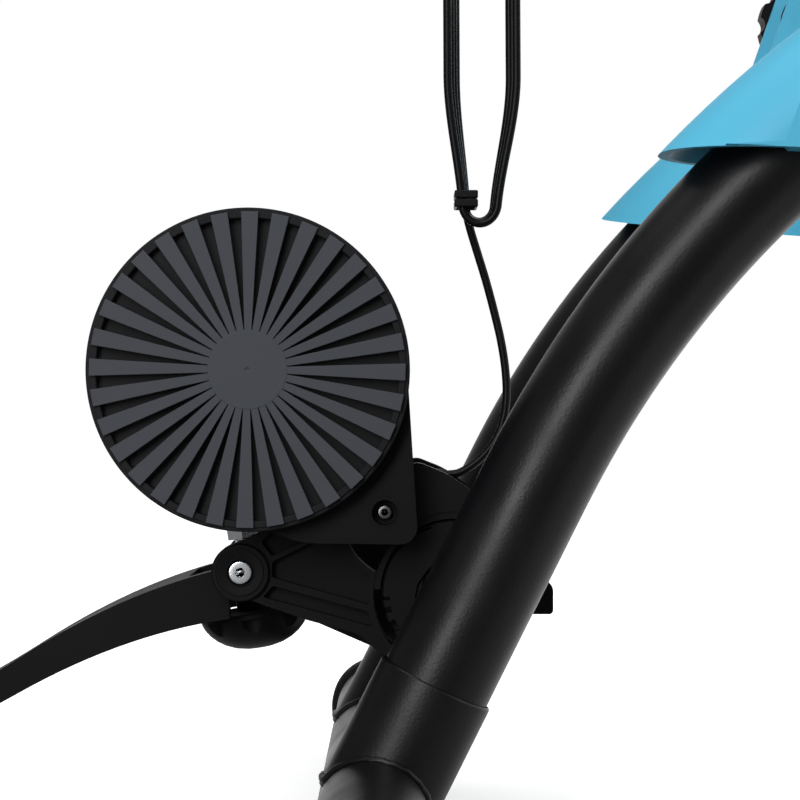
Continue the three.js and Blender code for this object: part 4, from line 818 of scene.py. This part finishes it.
def hinge_shroud(hand, behind, mouth, slope_x, slope_y):
    low_lean = LEAN - LAP
    end_lean = TOP_LEAN - 6 / BEND_RADIUS
    deep = ROOM_DEEP / BEND_RADIUS
    inner_low = SHROUD_LOW + SHROUD_WALL
    inner_high = SHROUD_HIGH - SHROUD_WALL
    skin = swept(sleeve_section(0, behind, 62), low_lean, end_lean)
    room = swept(sleeve_section(SHROUD_WALL, behind, 124), low_lean + deep, TOP_LEAN + deep)
    bay = swept([
        (BAY_FRONT, inner_low), (BAY_BACK, inner_low), (BAY_BACK, inner_high), (BAY_FRONT, inner_high),
    ], low_lean + deep, end_lean - deep)
    under = mouth_cutter(mouth, slope_x, slope_y)
    ahead = box((HINGE[0] - 6, 0, 0), (HINGE[0] + 245, 300, 645))
    shell = cut(skin, room, bay, under, ahead)
    ears = join(
        ear(mouth[2], behind, SHROUD_LOW, inner_low),
        ear(mouth[2], behind, SHROUD_HIGH - EAR_WALL, SHROUD_HIGH),
    )
    ears = cut(ears, mouth_cutter(mouth, slope_x, slope_y))
    shell = cut(
        join(shell, ears), tube_room(SPREAD), round_bar(HINGE, 20, inner_low, SHROUD_HIGH - EAR_WALL),
        round_bar(AXLE, 16.3, 70, 160), round_bar(HINGE, PIN_BORE, 70, 160, 32),
    )
    handed(hand, "shroud_shell", shell, BLUE, "rear_frame", "hinge_shroud", edge=1.5)


def knuckle(hand):
    low = SPREAD - TUBE - 4
    high = SPREAD + 32
    sleeve = swept([
        (-30, low + 8), (-28, low + 3), (-22, low), (23, low), (29, low + 3), (31, low + 8),
        (31, high - 10), (28, high - 3), (21, high), (-20, high), (-27, high - 3), (-30, high - 10),
    ], TOP_LEAN + 88 / BEND_RADIUS, TOP_LEAN, front=True)
    boss = turned_across(
        HINGE, [(0, low), (16.6, low), (18, low + 1.4), (18, high - 1.4), (16.6, high), (0, high)],
    )
    (end_x, end_z), (low_x, low_z) = [on_bend(out, TOP_LEAN) for out in (31, -30)]
    web = plate([
        (HINGE[0], HINGE[1] + 17.6), (HINGE[0], HINGE[1] - 17.6), (2 * HINGE[0] - low_x + 2, low_z),
        (2 * HINGE[0] - end_x + 2, end_z - 2),
    ], low + 0.4, high - 0.4)
    body = join(sleeve, boss, web)
    body = cut(body, tube_room(SPREAD, front=True), round_bar(HINGE, PIN_BORE, low - 2, high + 2, 32))
    handed(hand, "knuckle_body", body, BLUE, "front_frame", "leg_knuckle", edge=1.0)


def hinge_pin(hand):
    low = SHROUD_LOW - 3.3
    high = SHROUD_HIGH + 3.3
    pin = turned_across(HINGE, [
        (0, low), (8.4, low), (10, low + 1), (10, low + 3), (6, low + 3), (6, high - 3), (10, high - 3),
        (10, high - 1.2), (8.8, high), (3.2, high), (3.2, high - 2.2), (0, high - 2.2),
    ], 48)
    handed(hand, "hinge_pin_steel", pin, ZINC, "rear_frame", "hinge_pin", edge=0.25)


hinge_shroud("right", 40, (134, 150, 323), -0.035, 0.045)
hinge_shroud("left", 37, (124, 77, 303.8), -0.07, 0.13)
for hand in SIDES:
    knuckle(hand)
    hinge_pin(hand)


# Axle clamps

LEVER_PIN_Y = -166
LEVER_HALF = 17.3
SCALLOPS = 10


def along_lever_pin(half, radius, steps):
    """A rod on the axis of the quick release lever's pin."""
    ends = [put(AXLE[0] + way * half, LEVER_PIN_Y, AXLE[1]) for way in (-1, 1)]
    return rod(*ends, radius, steps)


def clamp_barrel(hand):
    barrel = turned_across(AXLE, [
        (12.3, 76.7), (15.4, 76.7), (16, 77.4), (16, 151.8), (15, 153), (13, 153), (12.3, 152.2),
    ], ring=True)
    handed(hand, "barrel_tube", barrel, POWDER_COAT, "rear_frame", "clamp_barrel", edge=0.2)


def axle_cup(hand, side, front, rod_end):
    cup = turned_across(AXLE, [
        (0, front + 10), (4, front + 9), (8.2, front + 1.2), (8.8, front), (11.2, front), (12, front + 0.8),
        (12, rod_end - 1), (11, rod_end), (0, rod_end),
    ])
    body = on_side(cup, side)
    if side < 0:
        body = cut(body, along_lever_pin(14, 3.8, 24))
    piece(f"{hand}_cup_steel", body, STEEL, f"{hand}_cup", f"{hand}_axle_cup", edge=0.2)


def cam_lever():
    x, z = AXLE
    outline = [
        (-178.5, 0, 2), (-182, -30, 14), (-185, -92, 3.6), (-176, -92, 3.6), (-171, -34, 14),
        (-161.5, -12.5, 2),
    ]
    blade = slab(
        [(put(x - LEVER_HALF, y, z + up), radius) for y, up, radius in outline],
        FORWARD * LEVER_HALF * 2 * MM,
    )
    scoops = []
    for way in (-1, 1):
        beside = x + way * (LEVER_HALF + 20)
        scoops.append(rod(put(beside, -190, z - 52), put(beside, -160, z - 52), 25, 64))
    blade = cut(blade, *scoops)
    room = box((x - 12.3, LEVER_PIN_Y - 14.5, z - 14.5), (x + 12.3, LEVER_PIN_Y + 14.5, z + 14.5))
    cam = along_lever_pin(LEVER_HALF, 12.5, 64)
    body = cut(join(cam, blade), room, along_lever_pin(20, 3.8, 24))
    piece("quick_lever_body", body, MOULDED, "quick_lever", "quick_release_lever", edge=0.9)


def lever_pin():
    pin = turned(put(AXLE[0] - 17.6, LEVER_PIN_Y, AXLE[1]), FORWARD, [
        (0, 0), (3, 0), (3.5, 0.5), (3.5, 34.7), (3, 35.2), (0, 35.2),
    ], 32)
    piece("quick_lever_pin", pin, ZINC, "right_cup", "quick_release_pin", edge=0.15)


def adjusting_wheel():
    low = 153.3
    high = 170.3
    wheel = turned_across(AXLE, [
        (12.3, low), (25, low), (26, low + 1.2), (26, high - 2), (24, high), (17, high),
        (15.5, high - 1.6), (12.3, high - 1.6),
    ], 96, ring=True)
    scallops = []
    for i in range(SCALLOPS):
        place = around(AXLE, 28.5, 360 / SCALLOPS * i)
        scallops.append(round_bar(place, 5, low - 2, high + 2, 32))
    piece(
        "adjusting_wheel_body", cut(wheel, *scallops), MOULDED, "left_wheel", "left_adjusting_wheel",
        edge=0.7,
    )


for hand in SIDES:
    clamp_barrel(hand)
axle_cup("right", -1, 66, 173)
axle_cup("left", 1, 68, 184)
cam_lever()
lever_pin()
adjusting_wheel()


# Unit bracket: saddle and cap on the crossbar, two ribbed arms and the bridge between them

SADDLE = 34.4
COLLAR = 41.5
TRIM = 36.4
BOSS = 13.6
BOLT_Y = 32
UPPER_SLIT = [(-1.6, 140.5), (1.8, 144.4), (6.4, 147.6), (9.8, 150.2), (14.9, 152.2)]
EDGE_SLIT = [(7.3, 119.2), (8.6, 125.2), (12.8, 131.2), (17.2, 135.5)]


def slit(line):
    """A narrow groove in a side face of the saddle, along a line."""
    above = [(x - 0.35, z + 0.45) for x, z in line]
    below = [(x + 0.35, z - 0.45) for x, z in line]
    return plate([*above, *reversed(below)], 54.2, 60)


def saddle_ring():
    ring = turned_across(CROSSBAR, [
        (16.3, -57), (33.6, -57), (SADDLE, -56.2), (SADDLE, -50), (20, -50), (20, 50), (SADDLE, 50),
        (SADDLE, 56.2), (33.6, 57), (16.3, 57),
    ], 120, ring=True)
    tools = []
    for degrees, height in ((184, 1.6), (193.6, 2.6), (208, 5.6)):
        notch = bmesh.new()
        bmesh.ops.create_cube(notch, size=1)
        bmesh.ops.scale(notch, vec=Vector((7, 171, height)) * MM, verts=notch.verts)
        turn = Matrix.Rotation(-math.radians(degrees), 3, "Y")
        bmesh.ops.rotate(notch, cent=(0, 0, 0), matrix=turn, verts=notch.verts)
        at = around(CROSSBAR, SADDLE, degrees)
        bmesh.ops.translate(notch, vec=put(at[0], 0, at[1]), verts=notch.verts)
        tools.append(notch)
    for side in (-1, 1):
        for line in (UPPER_SLIT, EDGE_SLIT):
            tools.append(on_side(slit(line), side))
    return cut(ring, *tools)


def clamp_bore(side):
    ends = [put(CROSSBAR[0] + way * 94, side * BOLT_Y, CROSSBAR[1] - 3) for way in (-1, 1)]
    return rod(*ends, 4.3, 32)


def saddle_half(forward):
    x, z = CROSSBAR
    if forward:
        away = box((x - 138, -210, 0), (x + 0.6, 210, 260))
    else:
        away = box((x - 0.6, -210, 0), (x + 138, 210, 260))
    body = cut(saddle_ring(), away)
    if forward:
        housing = [(x + 10, z + 5), (x + 10, z - 11), (x + 47, z - 11, 2), (x + 47, z + 5, 5)]
        middles = (-BOLT_Y, BOLT_Y)
        body = join(body, *[plate(housing, middle - 10, middle + 10) for middle in middles])
    body = cut(body, round_bar(CROSSBAR, 16.3, -70, 70, 96), clamp_bore(-1), clamp_bore(1))
    name = "bracket_cap" if forward else "bracket_saddle"
    piece(f"{name}_body", body, MOULDED, "rear_frame", name, edge=0.6)


def clamp_bolt(hand, side):
    start = put(CROSSBAR[0] - 24.3, side * BOLT_Y, CROSSBAR[1] - 3)
    bolt = turned(start, FORWARD, [
        (0, 1.8), (2.8, 1.8), (2.8, 0), (6, 0), (7, 1), (7, 4), (4, 4), (4, 66), (3.2, 67.3), (0, 67.3),
    ], 48)
    piece(f"{hand}_clamp_bolt_steel", bolt, ZINC, "rear_frame", f"{hand}_clamp_bolt", edge=0.2)


def arm_outline():
    corners = arc(PIVOT, BOSS, 104, 288, 40)
    corners += [(-43.9, 108.6), (-18.4, 101.8, 5), (-11.6, 94.6, 3)]
    corners += arc(CROSSBAR, COLLAR, 240, 276, 14)
    corners += arc(CROSSBAR, TRIM, 286, 392, 36)
    corners += arc(CROSSBAR, COLLAR, 402, 418, 8)
    corners += [(33.8, 169.6, 6), (21.6, 177.6, 3), (8, 183, 3), (-14.5, 172.8, 6)]
    return corners


def arm_tools(through):
    low = 52
    top = 62
    floor = 40 if through else 44.4
    main = plate([
        (-60.2, 135.9, 1.2), (-30, 150.6, 1.2), (-27.9, 143.5, 4), (-20.9, 133.7, 4), (-13.6, 129.0, 1),
        (-14.4, 115.6, 1.2), (-60.2, 128.5, 1.2),
    ], low, top)
    upper = plate([
        (-65.4, 145.2, 1), (-61.4, 149.0, 1), (-36, 158.6, 1), (-36, 149.9, 1), (-46, 145.1, 1),
        (-60.4, 138.6, 1), (-62.8, 142.0, 1),
    ], low, top)
    lower = plate([
        (-59.8, 124.7, 1.2), (-14.9, 112.6, 1.2), (-12.6, 105.2, 1.2), (-64.6, 119.4, 1.2),
        (-62.2, 122.0, 1),
    ], low, top)
    window = plate([
        (-25.4, 147.5, 1.5), (-21.9, 139.6, 5), (-16.9, 134.6, 5), (-11.2, 130.6, 1), (-8.2, 137.3, 5),
        (-3.6, 145.2, 1.5),
    ], floor, top)
    slot = plate(arc(CROSSBAR, 38.5, 177, 219, 30) + arc(CROSSBAR, 33.5, 219, 177, 30), floor, top)
    return [main, upper, lower, window, slot]


def bracket_arm(hand):
    web = plate(arm_outline(), 43, 57)
    boss = turned_across(PIVOT, [(0, 43), (BOSS, 43), (BOSS, 58.9), (13, 59.5), (0, 59.5)], 96)
    collar = washer(CROSSBAR, 41.4, 38.6, 50, 57.7, 120)
    room = round_bar(CROSSBAR, 35.3, 49.7, 64, 120)
    sleeve = round_bar(CROSSBAR, 20.3, 40, 64, 96)
    recess = round_bar(PIVOT, 6.3, 56.9, 64, 64)
    groove = washer(PIVOT, 11.5, 10.9, 58.8, 62, 96)
    dish = turned_across(PIVOT, [(6.8, 59.0), (10.3, 59.25), (10.3, 62), (6.8, 62)], 96, ring=True)
    bores = [round_bar(PIVOT, 4.7, 40, 64, 48), round_bar(TILT, 3.3, 40, 64, 32)]
    beyond = plate(arc(CROSSBAR, 60, 280, 398, 20) + arc(CROSSBAR, TRIM, 398, 280, 40), 40, 64)
    body = join(web, boss, cut(collar, beyond))
    body = cut(body, room, sleeve, *arm_tools(hand == "right"), recess, groove, dish, *bores)
    handed(hand, "arm_plate", body, MOULDED, "swing_bracket", "bracket_arm", edge=0.45)


def arm_bridge():
    start = around(PIVOT, BOSS, 290)
    end = around(CROSSBAR, COLLAR, 236)
    corners = []
    for share, up in ((0.42, 1.2), (0.82, 1.2), (0.82, 6.2), (0.42, 6.2)):
        corners.append(
            (start[0] + (end[0] - start[0]) * share, start[1] + (end[1] - start[1]) * share + up),
        )
    web = plate(corners, -42.7, 42.7)
    piece("arm_bridge_plate", web, MOULDED, "swing_bracket", "bracket_bridge", edge=0.9)


def hex_socket(place, across, low, high):
    return plate([around(place, across / math.sqrt(3), 60 * i + 12) for i in range(6)], low, high)


def socket_bolt(hand, name, place, radius, head, tip, seat, top, socket, node, body, look):
    bolt = turned_across(place, [
        (0, tip), (radius, tip), (radius, seat), (head, seat), (head, top - 0.7),
        (head - 0.35, top - 0.2), (head - 0.9, top), (0, top),
    ], 64)
    drill = turned_across(
        place, [(0, top - 9), (socket * 0.5, top - 5.2), (socket * 0.5, top - 4), (0, top - 4)], 32,
    )
    bolt = cut(bolt, hex_socket(place, socket, top - 4.6, top + 2), drill)
    handed(hand, name, bolt, look, body, node, edge=0.15)


for forward in (False, True):
    saddle_half(forward)
arm_bridge()
for hand, side in SIDES.items():
    clamp_bolt(hand, side)
    bracket_arm(hand)
    socket_bolt(
        hand, "pivot_bolt", PIVOT, 4.4, 5.5, 29.8, 57.2, 60.2, 4.4, "lever_bolt", "swing_bracket", ZINC,
    )


# Pressure gear: pedal, barrel, threaded screw, nut and knob

SCREW_LEAN = math.radians(-8.6)
SCREW_AXIS = Vector((math.sin(SCREW_LEAN), 0, math.cos(SCREW_LEAN)))
SCREW_BORE = 5.3
KNOB_TOP = -22
KNOB_LOW = -41
FLUTES = 8
THREAD_PITCH = 1.5
THREAD_DEPTH = 0.75
NUT_RADIUS = 8.5
NUT_HEIGHT = 7
NUT_SEAT = 13.2
PEDAL_GAP = 30.1
PEDAL_HALF = 42.4


def on_screw(distance):
    return put(PIVOT[0], 0, PIVOT[1]) + SCREW_AXIS * distance * MM


def pedal_line(steps):
    """Top and underside of the pedal from its root to its toe."""
    top = []
    low = []
    for i in range(steps + 1):
        share = i / steps
        x = PIVOT[0] - 6.3 - 161.7 * share
        flat = max(share - 0.62, 0)
        high = PIVOT[1] + 1.5 - 36 * share - 54.8 * share * share + 100 * flat * flat
        top.append((x, high))
        low.append((x, high - 24.7 + 13 * share))
    return top, low


def pedal():
    top, low = pedal_line(24)
    outline = [*top[:-1], (*top[-1], 3.5), (*low[-1], 3.5), *reversed(low[:-1])]
    blade = plate(outline, -PEDAL_HALF, PEDAL_HALF)
    hubs = both_sides(PIVOT, [(0, PEDAL_GAP), (12.5, PEDAL_GAP), (12.5, PEDAL_HALF), (0, PEDAL_HALF)], 96)
    room = box((PIVOT[0] - 26.5, -PEDAL_GAP, PIVOT[1] - 84), (PIVOT[0] + 31.3, PEDAL_GAP, PIVOT[1] + 84))
    under = [(x, z - 3.4) for x, z in top[6:22]] + [(x, z - 14) for x, z in reversed(low[6:22])]
    hollow = plate(under, -39.2, 39.2)
    body = cut(join(blade, *hubs), room, hollow, round_bar(PIVOT, 4.7, -60, 60, 48))
    piece("pedal_body", body, MOULDED, "foot_lever", "pressure_lever", edge=1.1)


def barrel():
    body = turned_across(
        PIVOT, [(0, -29.5), (8.2, -29.5), (9, -28.7), (9, 28.7), (8.2, 29.5), (0, 29.5)], 72,
    )
    body = cut(body, rod(on_screw(-24), on_screw(24), SCREW_BORE, 40))
    piece("pressure_barrel_steel", body, STEEL, "screw_barrel", "pressure_barrel", edge=0.25)


def thread_profile(radius, depth, start, end, pitch):
    profile = []
    for i in range(int((end - start) / pitch)):
        base = start + i * pitch
        for share, out in ((0, -depth), (0.38, 0), (0.5, 0), (0.88, -depth)):
            profile.append((radius + out, base + pitch * share))
    return profile


def threaded_screw():
    low = KNOB_LOW + 4.55
    high = 21.6
    profile = [
        (0, low), (4.2, low), *thread_profile(5, THREAD_DEPTH, low + 0.6, high - 1, THREAD_PITCH),
        (4.2, high - 0.6), (3.6, high), (0, high),
    ]
    screw = turned(on_screw(0), SCREW_AXIS, profile, 56)
    piece("threaded_screw", screw, ZINC, "screw_knob", "pressure_screw", angle=50)


def hex_nut():
    start = on_screw(NUT_SEAT)
    bm = bmesh.new()
    bmesh.ops.create_cone(
        bm, cap_ends=True, segments=6, radius1=NUT_RADIUS * MM, radius2=NUT_RADIUS * MM,
        depth=NUT_HEIGHT * MM,
    )
    turn = UPWARD.rotation_difference(SCREW_AXIS).to_matrix()
    bmesh.ops.rotate(bm, cent=(0, 0, 0), matrix=turn, verts=bm.verts)
    bmesh.ops.translate(bm, vec=start + SCREW_AXIS * NUT_HEIGHT / 2 * MM, verts=bm.verts)
    chamfer = turned(start, SCREW_AXIS, [
        (7, -1), (10, -1), (10, 8), (7, 8), (8.6, 6.2), (8.6, 0.8),
    ], 64, ring=True)
    bore = rod(on_screw(5), on_screw(30), SCREW_BORE, 40)
    piece("pressure_nut_steel", cut(bm, chamfer, bore), ZINC, "screw_nut", "pressure_nut", edge=0.2)


def knob():
    top = KNOB_TOP
    bowl = [
        (0, 0), (7, 0.1), (12, 1.2), (16.6, 3.2), (20.4, 5.8), (23.4, 8.8), (25.6, 12), (26.7, 14.6),
        (27, 16),
    ]
    body = turned(on_screw(0), SCREW_AXIS, [
        *[(radius, KNOB_LOW + up) for radius, up in bowl], (27, top - 1.2), (26.4, top - 0.3), (25.2, top),
        (0, top),
    ], 120)
    side = Vector((SCREW_AXIS.z, 0, -SCREW_AXIS.x))
    flutes = []
    for i in range(FLUTES):
        turn = math.radians(360 / FLUTES * i)
        away = (side * math.cos(turn) + ACROSS * math.sin(turn)) * 30.5 * MM
        flutes.append(rod(on_screw(KNOB_LOW - 2) + away, on_screw(top - 3.2) + away, 7, 40))
    body = cut(body, *flutes)
    collar = turned(on_screw(0), SCREW_AXIS, [
        (0, top - 2), (8.5, top - 2), (8.5, -10.2), (7.9, -9.6), (0, -9.6),
    ], 56)
    bore = rod(on_screw(KNOB_LOW + 4.25), on_screw(0), SCREW_BORE, 40)
    piece("knob_body", cut(join(body, collar), bore), MOULDED, "screw_knob", "pressure_knob", edge=0.8)


pedal()
barrel()
threaded_screw()
hex_nut()
knob()


# Roller unit

RIBS = 32
MAGNETS = 8
RIB_TURN = -0.9
COVER_RADIUS = 74
DRUM_STEPS = 160


def rib(index):
    turn = math.radians(RIB_TURN + 360 / RIBS * index)
    out = (math.cos(turn), math.sin(turn))
    corners = []
    for radius, aside in ((17.4, -1.62), (72, -3.95), (72, 3.95), (17.4, 1.62)):
        corners.append(
            (ROLLER[0] + radius * out[0] - aside * out[1], ROLLER[1] + radius * out[1] + aside * out[0]),
        )
    return plate(corners, -95.85, -89.2)


def ribbed_cover():
    hub = turned_across(ROLLER, [
        (0, -89), (18.2, -89), (18.2, -95.7), (17.9, -96), (1.3, -96), (0.6, -95.5), (0, -95.4),
    ], 128)
    face = together(hub, *[rib(i) for i in range(RIBS)])
    piece("cover_ribs", face, COVER_GREY, "roller_unit", "ribbed_cover", edge=0.22)
    # The pan's recess floors between the ribs carry painted shade in their near-black colour; its rim is
    # black of its own.
    pan = turned_across(ROLLER, [
        (0, -89.5), (69, -89.5), (69, -93.6), (69.4, -94), (72, -94), (72, -92.9), (73.6, -92.9),
        (COVER_RADIUS, -92.5), (COVER_RADIUS, -84.3), (68, -84.3), (68, -86.5), (29.7, -86.5),
        (29.7, -74.5), (26.7, -74.5), (26.7, -86.5), (0, -86.5),
    ], DRUM_STEPS)
    piece("cover_pan", pan, COVER_BLACK_AND_SHADE, "roller_unit", "ribbed_cover", edge=0.2)


def casing_foot(radius, low, high):
    heel = around(ROLLER, radius - 3, 240)
    shoulder = around(ROLLER, radius, 2)
    right = TILT[0] + 15.5
    return plate([
        ROLLER, heel, (TILT[0] - 37.5, TILT[1] - 14, 6), (right, TILT[1] - 14.6, 8.5),
        (max(shoulder[0], right - 5.2), shoulder[1], 3),
    ], low, high)


def casing(name, node, radius, cavity, side):
    drum = turned_across(
        ROLLER, [(0, 61), (radius - 1, 61), (radius, 62), (radius, 84), (0, 84)], DRUM_STEPS,
    )
    foot = casing_foot(radius, 61, 81)
    room = round_bar(ROLLER, cavity, 64, 90, 128)
    shaft = round_bar(ROLLER, 7.8, 50, 90, 48)
    sink = turned_across(TILT, [(0, 73), (5.6, 73), (5.6, 80.5), (6.2, 81.2), (6.2, 90), (0, 90)], 64)
    ring = washer(TILT, 7.6, 6.9, 80.7, 84, 64)
    bore = round_bar(TILT, 3.3, 50, 90, 32)
    body = cut(join(drum, foot), room, shaft, sink, ring, bore)
    piece(name, on_side(body, side), MOULDED, "roller_unit", node, edge=0.8)


def flywheel_lid():
    lid = turned_across(ROLLER, [
        (0, 92), (16, 92), (17, 91.4), (40, 91.2), (41, 90.4), (54, 90.2), (58, 89.6), (62, 88.4), (64, 86),
        (64, 84.3), (61, 84.3), (61, 85.6), (56, 87.2), (0, 88.4),
    ], 128)
    piece("flywheel_lid_cap", lid, COVER_GREY, "roller_unit", "flywheel_lid", edge=0.3)


def cradle():
    walls = both_sides(ROLLER, [(0, 38), (55, 38), (56, 39), (56, 60.7), (0, 60.7)], 128)
    web = plate(arc(ROLLER, 39, 188, 300, 40) + arc(ROLLER, 27, 300, 188, 40), -40, 40)
    top = on_screw(20.6)
    high = around(ROLLER, 37, 255)
    low_x = top.x / MM - HOME_X
    low_z = top.z / MM
    seat = plate([
        (low_x - 8.9, low_z + 1.4), (low_x + 8.9, low_z - 1.3), (high[0] + 9, high[1]),
        (high[0] - 9, high[1]),
    ], -12, 12)
    body = join(web, *walls, seat)
    tools = [round_bar(ROLLER, 13.3, -64, 64, 64), rod(on_screw(20.2), on_screw(30.2), 5.6, 40)]
    for turn in (20, 70, 120, 165):
        for near in (-64, 34):
            tools.append(round_bar(around(ROLLER, 40, turn), 9, near, near + 30, 40))
    piece("cradle_casting", cut(body, *tools), CAST, "roller_unit", "unit_cradle", edge=0.7)


def bearing_ring(hand):
    ring = turned_across(ROLLER, [
        (6.3, 41), (8.2, 41), (8.4, 41.6), (10.6, 41.6), (10.8, 41), (12.6, 41), (13, 41.4), (13, 49.6),
        (12.6, 50), (10.8, 50), (10.6, 49.4), (8.4, 49.4), (8.2, 50), (6.3, 50),
    ], 72, ring=True)
    handed(hand, "bearing_ring", ring, STEEL, "roller_unit", "bearing")


def roller_drum():
    profile = [(6.3, -33), (15.6, -33), (17, -31.6)]
    for i in range(21):
        base = -30 + 3 * i
        profile += [(17, base - 0.25), (16.8, base), (17, base + 0.25)]
    profile += [(17, 31.6), (15.6, 33), (6.3, 33)]
    drum = turned_across(ROLLER, profile, 96, ring=True)
    piece("roller_drum", drum, TURNED, "rotor", "roller", angle=40)


def rotor_parts():
    axle = turned_across(
        ROLLER, [(0, -72.5), (5.5, -72.5), (6, -72), (6, 79.8), (5.4, 80.3), (0, 80.3)], 48,
    )
    piece("roller_shaft", axle, STEEL, "rotor", "roller_axle")
    wheel = turned_across(ROLLER, [
        (6.3, 65), (14, 65), (14, 69.5), (45, 69.5), (45, 65.6), (45.6, 65), (56.2, 65), (57, 65.8),
        (57, 79.2), (56.2, 80), (45.6, 80), (45, 79.4), (45, 75.5), (14, 75.5), (14, 80), (6.3, 80),
    ], 128, ring=True)
    piece("flywheel_iron", wheel, IRON, "rotor", "flywheel", edge=0.3)
    disc = washer(ROLLER, 62, 6.3, -69.5, -66.5, 128)
    piece("brake_disc_plate", disc, TURNED, "rotor", "brake_disc", edge=0.3)


def magnet_parts():
    carrier = washer(ROLLER, 60, 30, -78, -74.5, 128)
    piece("magnet_carrier_plate", carrier, MOULDED, "magnet_plate", "magnet_carrier", edge=0.4)
    keeper = washer(ROLLER, 55, 37, -74.2, -73.2, 96)
    magnet = [(0, -73.3), (8, -73.3), (8, -71.1), (7.5, -70.7), (0, -70.7)]
    magnets = [turned_across(around(ROLLER, 46, 360 / MAGNETS * i), magnet, 40) for i in range(MAGNETS)]
    piece("magnet_ring_steel", together(keeper, *magnets), STEEL, "magnet_plate", "magnet_ring")


ribbed_cover()
casing("brake_casing_shell", "brake_casing", 72, 68, -1)
casing("flywheel_casing_shell", "flywheel_casing", 64, 61, 1)
flywheel_lid()
cradle()
roller_drum()
rotor_parts()
magnet_parts()
for hand in SIDES:
    bearing_ring(hand)
    # The tilt screws take the darkened zinc, whose darkness is painted shade.
    socket_bolt(
        hand, "tilt_screw", TILT, 3, 3.4, 43, 73.3, 76.3, 3.2, "tilt_bolt", "roller_unit", ZINC_WITH_PAINTED_SHADE,
    )


# Stage

PALE_SIDE = (0.55, 0.83, 0)


def pale_share(tree, spot, start, end, most=1):
    """How far a ray is the camera's own, or a reflection that looks to the pale side behind the object."""
    links = tree.links
    rays = add_node(tree, "LightPath")
    toward = add_node(tree, "VectorMath", operation="DOT_PRODUCT")
    toward.inputs[1].default_value = PALE_SIDE
    links.new(spot, toward.inputs[0])
    ramp = add_node(tree, "MapRange", From_Min=start, From_Max=end, To_Max=most)
    wire(toward, "Value", ramp, "Value")
    share = rays.outputs["Is Glossy Ray"]
    for operation, other in (
        ("MAXIMUM", rays.outputs["Is Transmission Ray"]), ("MULTIPLY", ramp.outputs["Result"]),
        ("MAXIMUM", rays.outputs["Is Camera Ray"]),
    ):
        step = add_node(tree, "Math", operation=operation)
        links.new(share, step.inputs[0])
        links.new(other, step.inputs[1])
        share = step.outputs["Value"]
    return share


def make_stage():
    bm = bmesh.new()
    bmesh.ops.create_grid(bm, x_segments=1, y_segments=1, size=4)
    mesh = bpy.data.meshes.new("floor")
    bm.to_mesh(mesh)
    bm.free()
    floor = add_object("floor", mesh)
    material = bpy.data.materials.new("studio_floor")
    material.use_nodes = True
    tree = material.node_tree
    links = tree.links
    shader = tree.nodes["Principled BSDF"]
    shader.inputs["Base Color"].default_value = (0.2, 0.2, 0.2, 1)
    shader.inputs["Roughness"].default_value = 0.9
    place = add_node(tree, "TexCoord")
    away = add_node(tree, "VectorMath", operation="LENGTH")
    wire(place, "Object", away, 0)
    fade = add_node(tree, "MapRange", From_Min=0.4, From_Max=1.1, To_Min=0.62, To_Max=1)
    wire(away, "Value", fade, "Value")
    pale = add_node(tree, "BsdfDiffuse", Color=(0.85, 0.85, 0.85, 1))
    glow = add_node(tree, "Emission")
    wire(fade, "Result", glow, "Strength")
    lit = add_node(tree, "AddShader")
    wire(pale, "BSDF", lit, 0)
    wire(glow, "Emission", lit, 1)
    seen = add_node(tree, "MixShader")
    links.new(pale_share(tree, place.outputs["Object"], -0.3, 0.2, 0.9), seen.inputs["Fac"])
    wire(shader, "BSDF", seen, 1)
    wire(lit, "Shader", seen, 2)
    links.new(seen.outputs["Shader"], tree.nodes["Material Output"].inputs["Surface"])
    mesh.materials.append(material)


def make_world():
    world = bpy.data.worlds.new("studio")
    bpy.context.scene.world = world
    world.use_nodes = True
    tree = world.node_tree
    links = tree.links
    room = tree.nodes["Background"]
    room.inputs["Color"].default_value = (0.96, 0.98, 1, 1)
    room.inputs["Strength"].default_value = 0.22
    white = add_node(tree, "Background", Color=(1, 1, 1, 1), Strength=1)
    place = add_node(tree, "TexCoord")
    mix = add_node(tree, "MixShader")
    links.new(pale_share(tree, place.outputs["Generated"], 0.15, 0.85), mix.inputs["Fac"])
    wire(room, "Background", mix, 1)
    wire(white, "Background", mix, 2)
    links.new(mix.outputs["Shader"], tree.nodes["World Output"].inputs["Surface"])


def softbox(name, place, aim, width, height, power, roll=0):
    lamp = bpy.data.lights.new(name, "AREA")
    lamp.shape = "RECTANGLE"
    lamp.size = width
    lamp.size_y = height
    lamp.energy = power
    obj = add_object(name, lamp)
    obj.location = place
    facing = (Vector(aim) - Vector(place)).to_track_quat("-Z", "Y")
    obj.rotation_euler = (facing @ Quaternion((0, 0, 1), math.radians(roll))).to_euler()


def make_lights():
    middle = (-0.1, 0, 0.2)
    softbox("key_box", (-0.76, -1.9, 0.94), middle, 0.62, 2.0, 34, roll=-31)
    softbox("top_box", (-0.4, -0.2, 2.1), middle, 1.8, 1.4, 15)
    softbox("fill_box", (1.9, -0.35, 0.75), middle, 1.6, 1.4, 13)
    softbox("rear_box", (0.9, 1.7, 1.3), middle, 1.2, 1.0, 8)


make_stage()
make_world()
make_lights()
bpy.context.scene.view_settings.view_transform = "Standard"

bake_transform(cable)
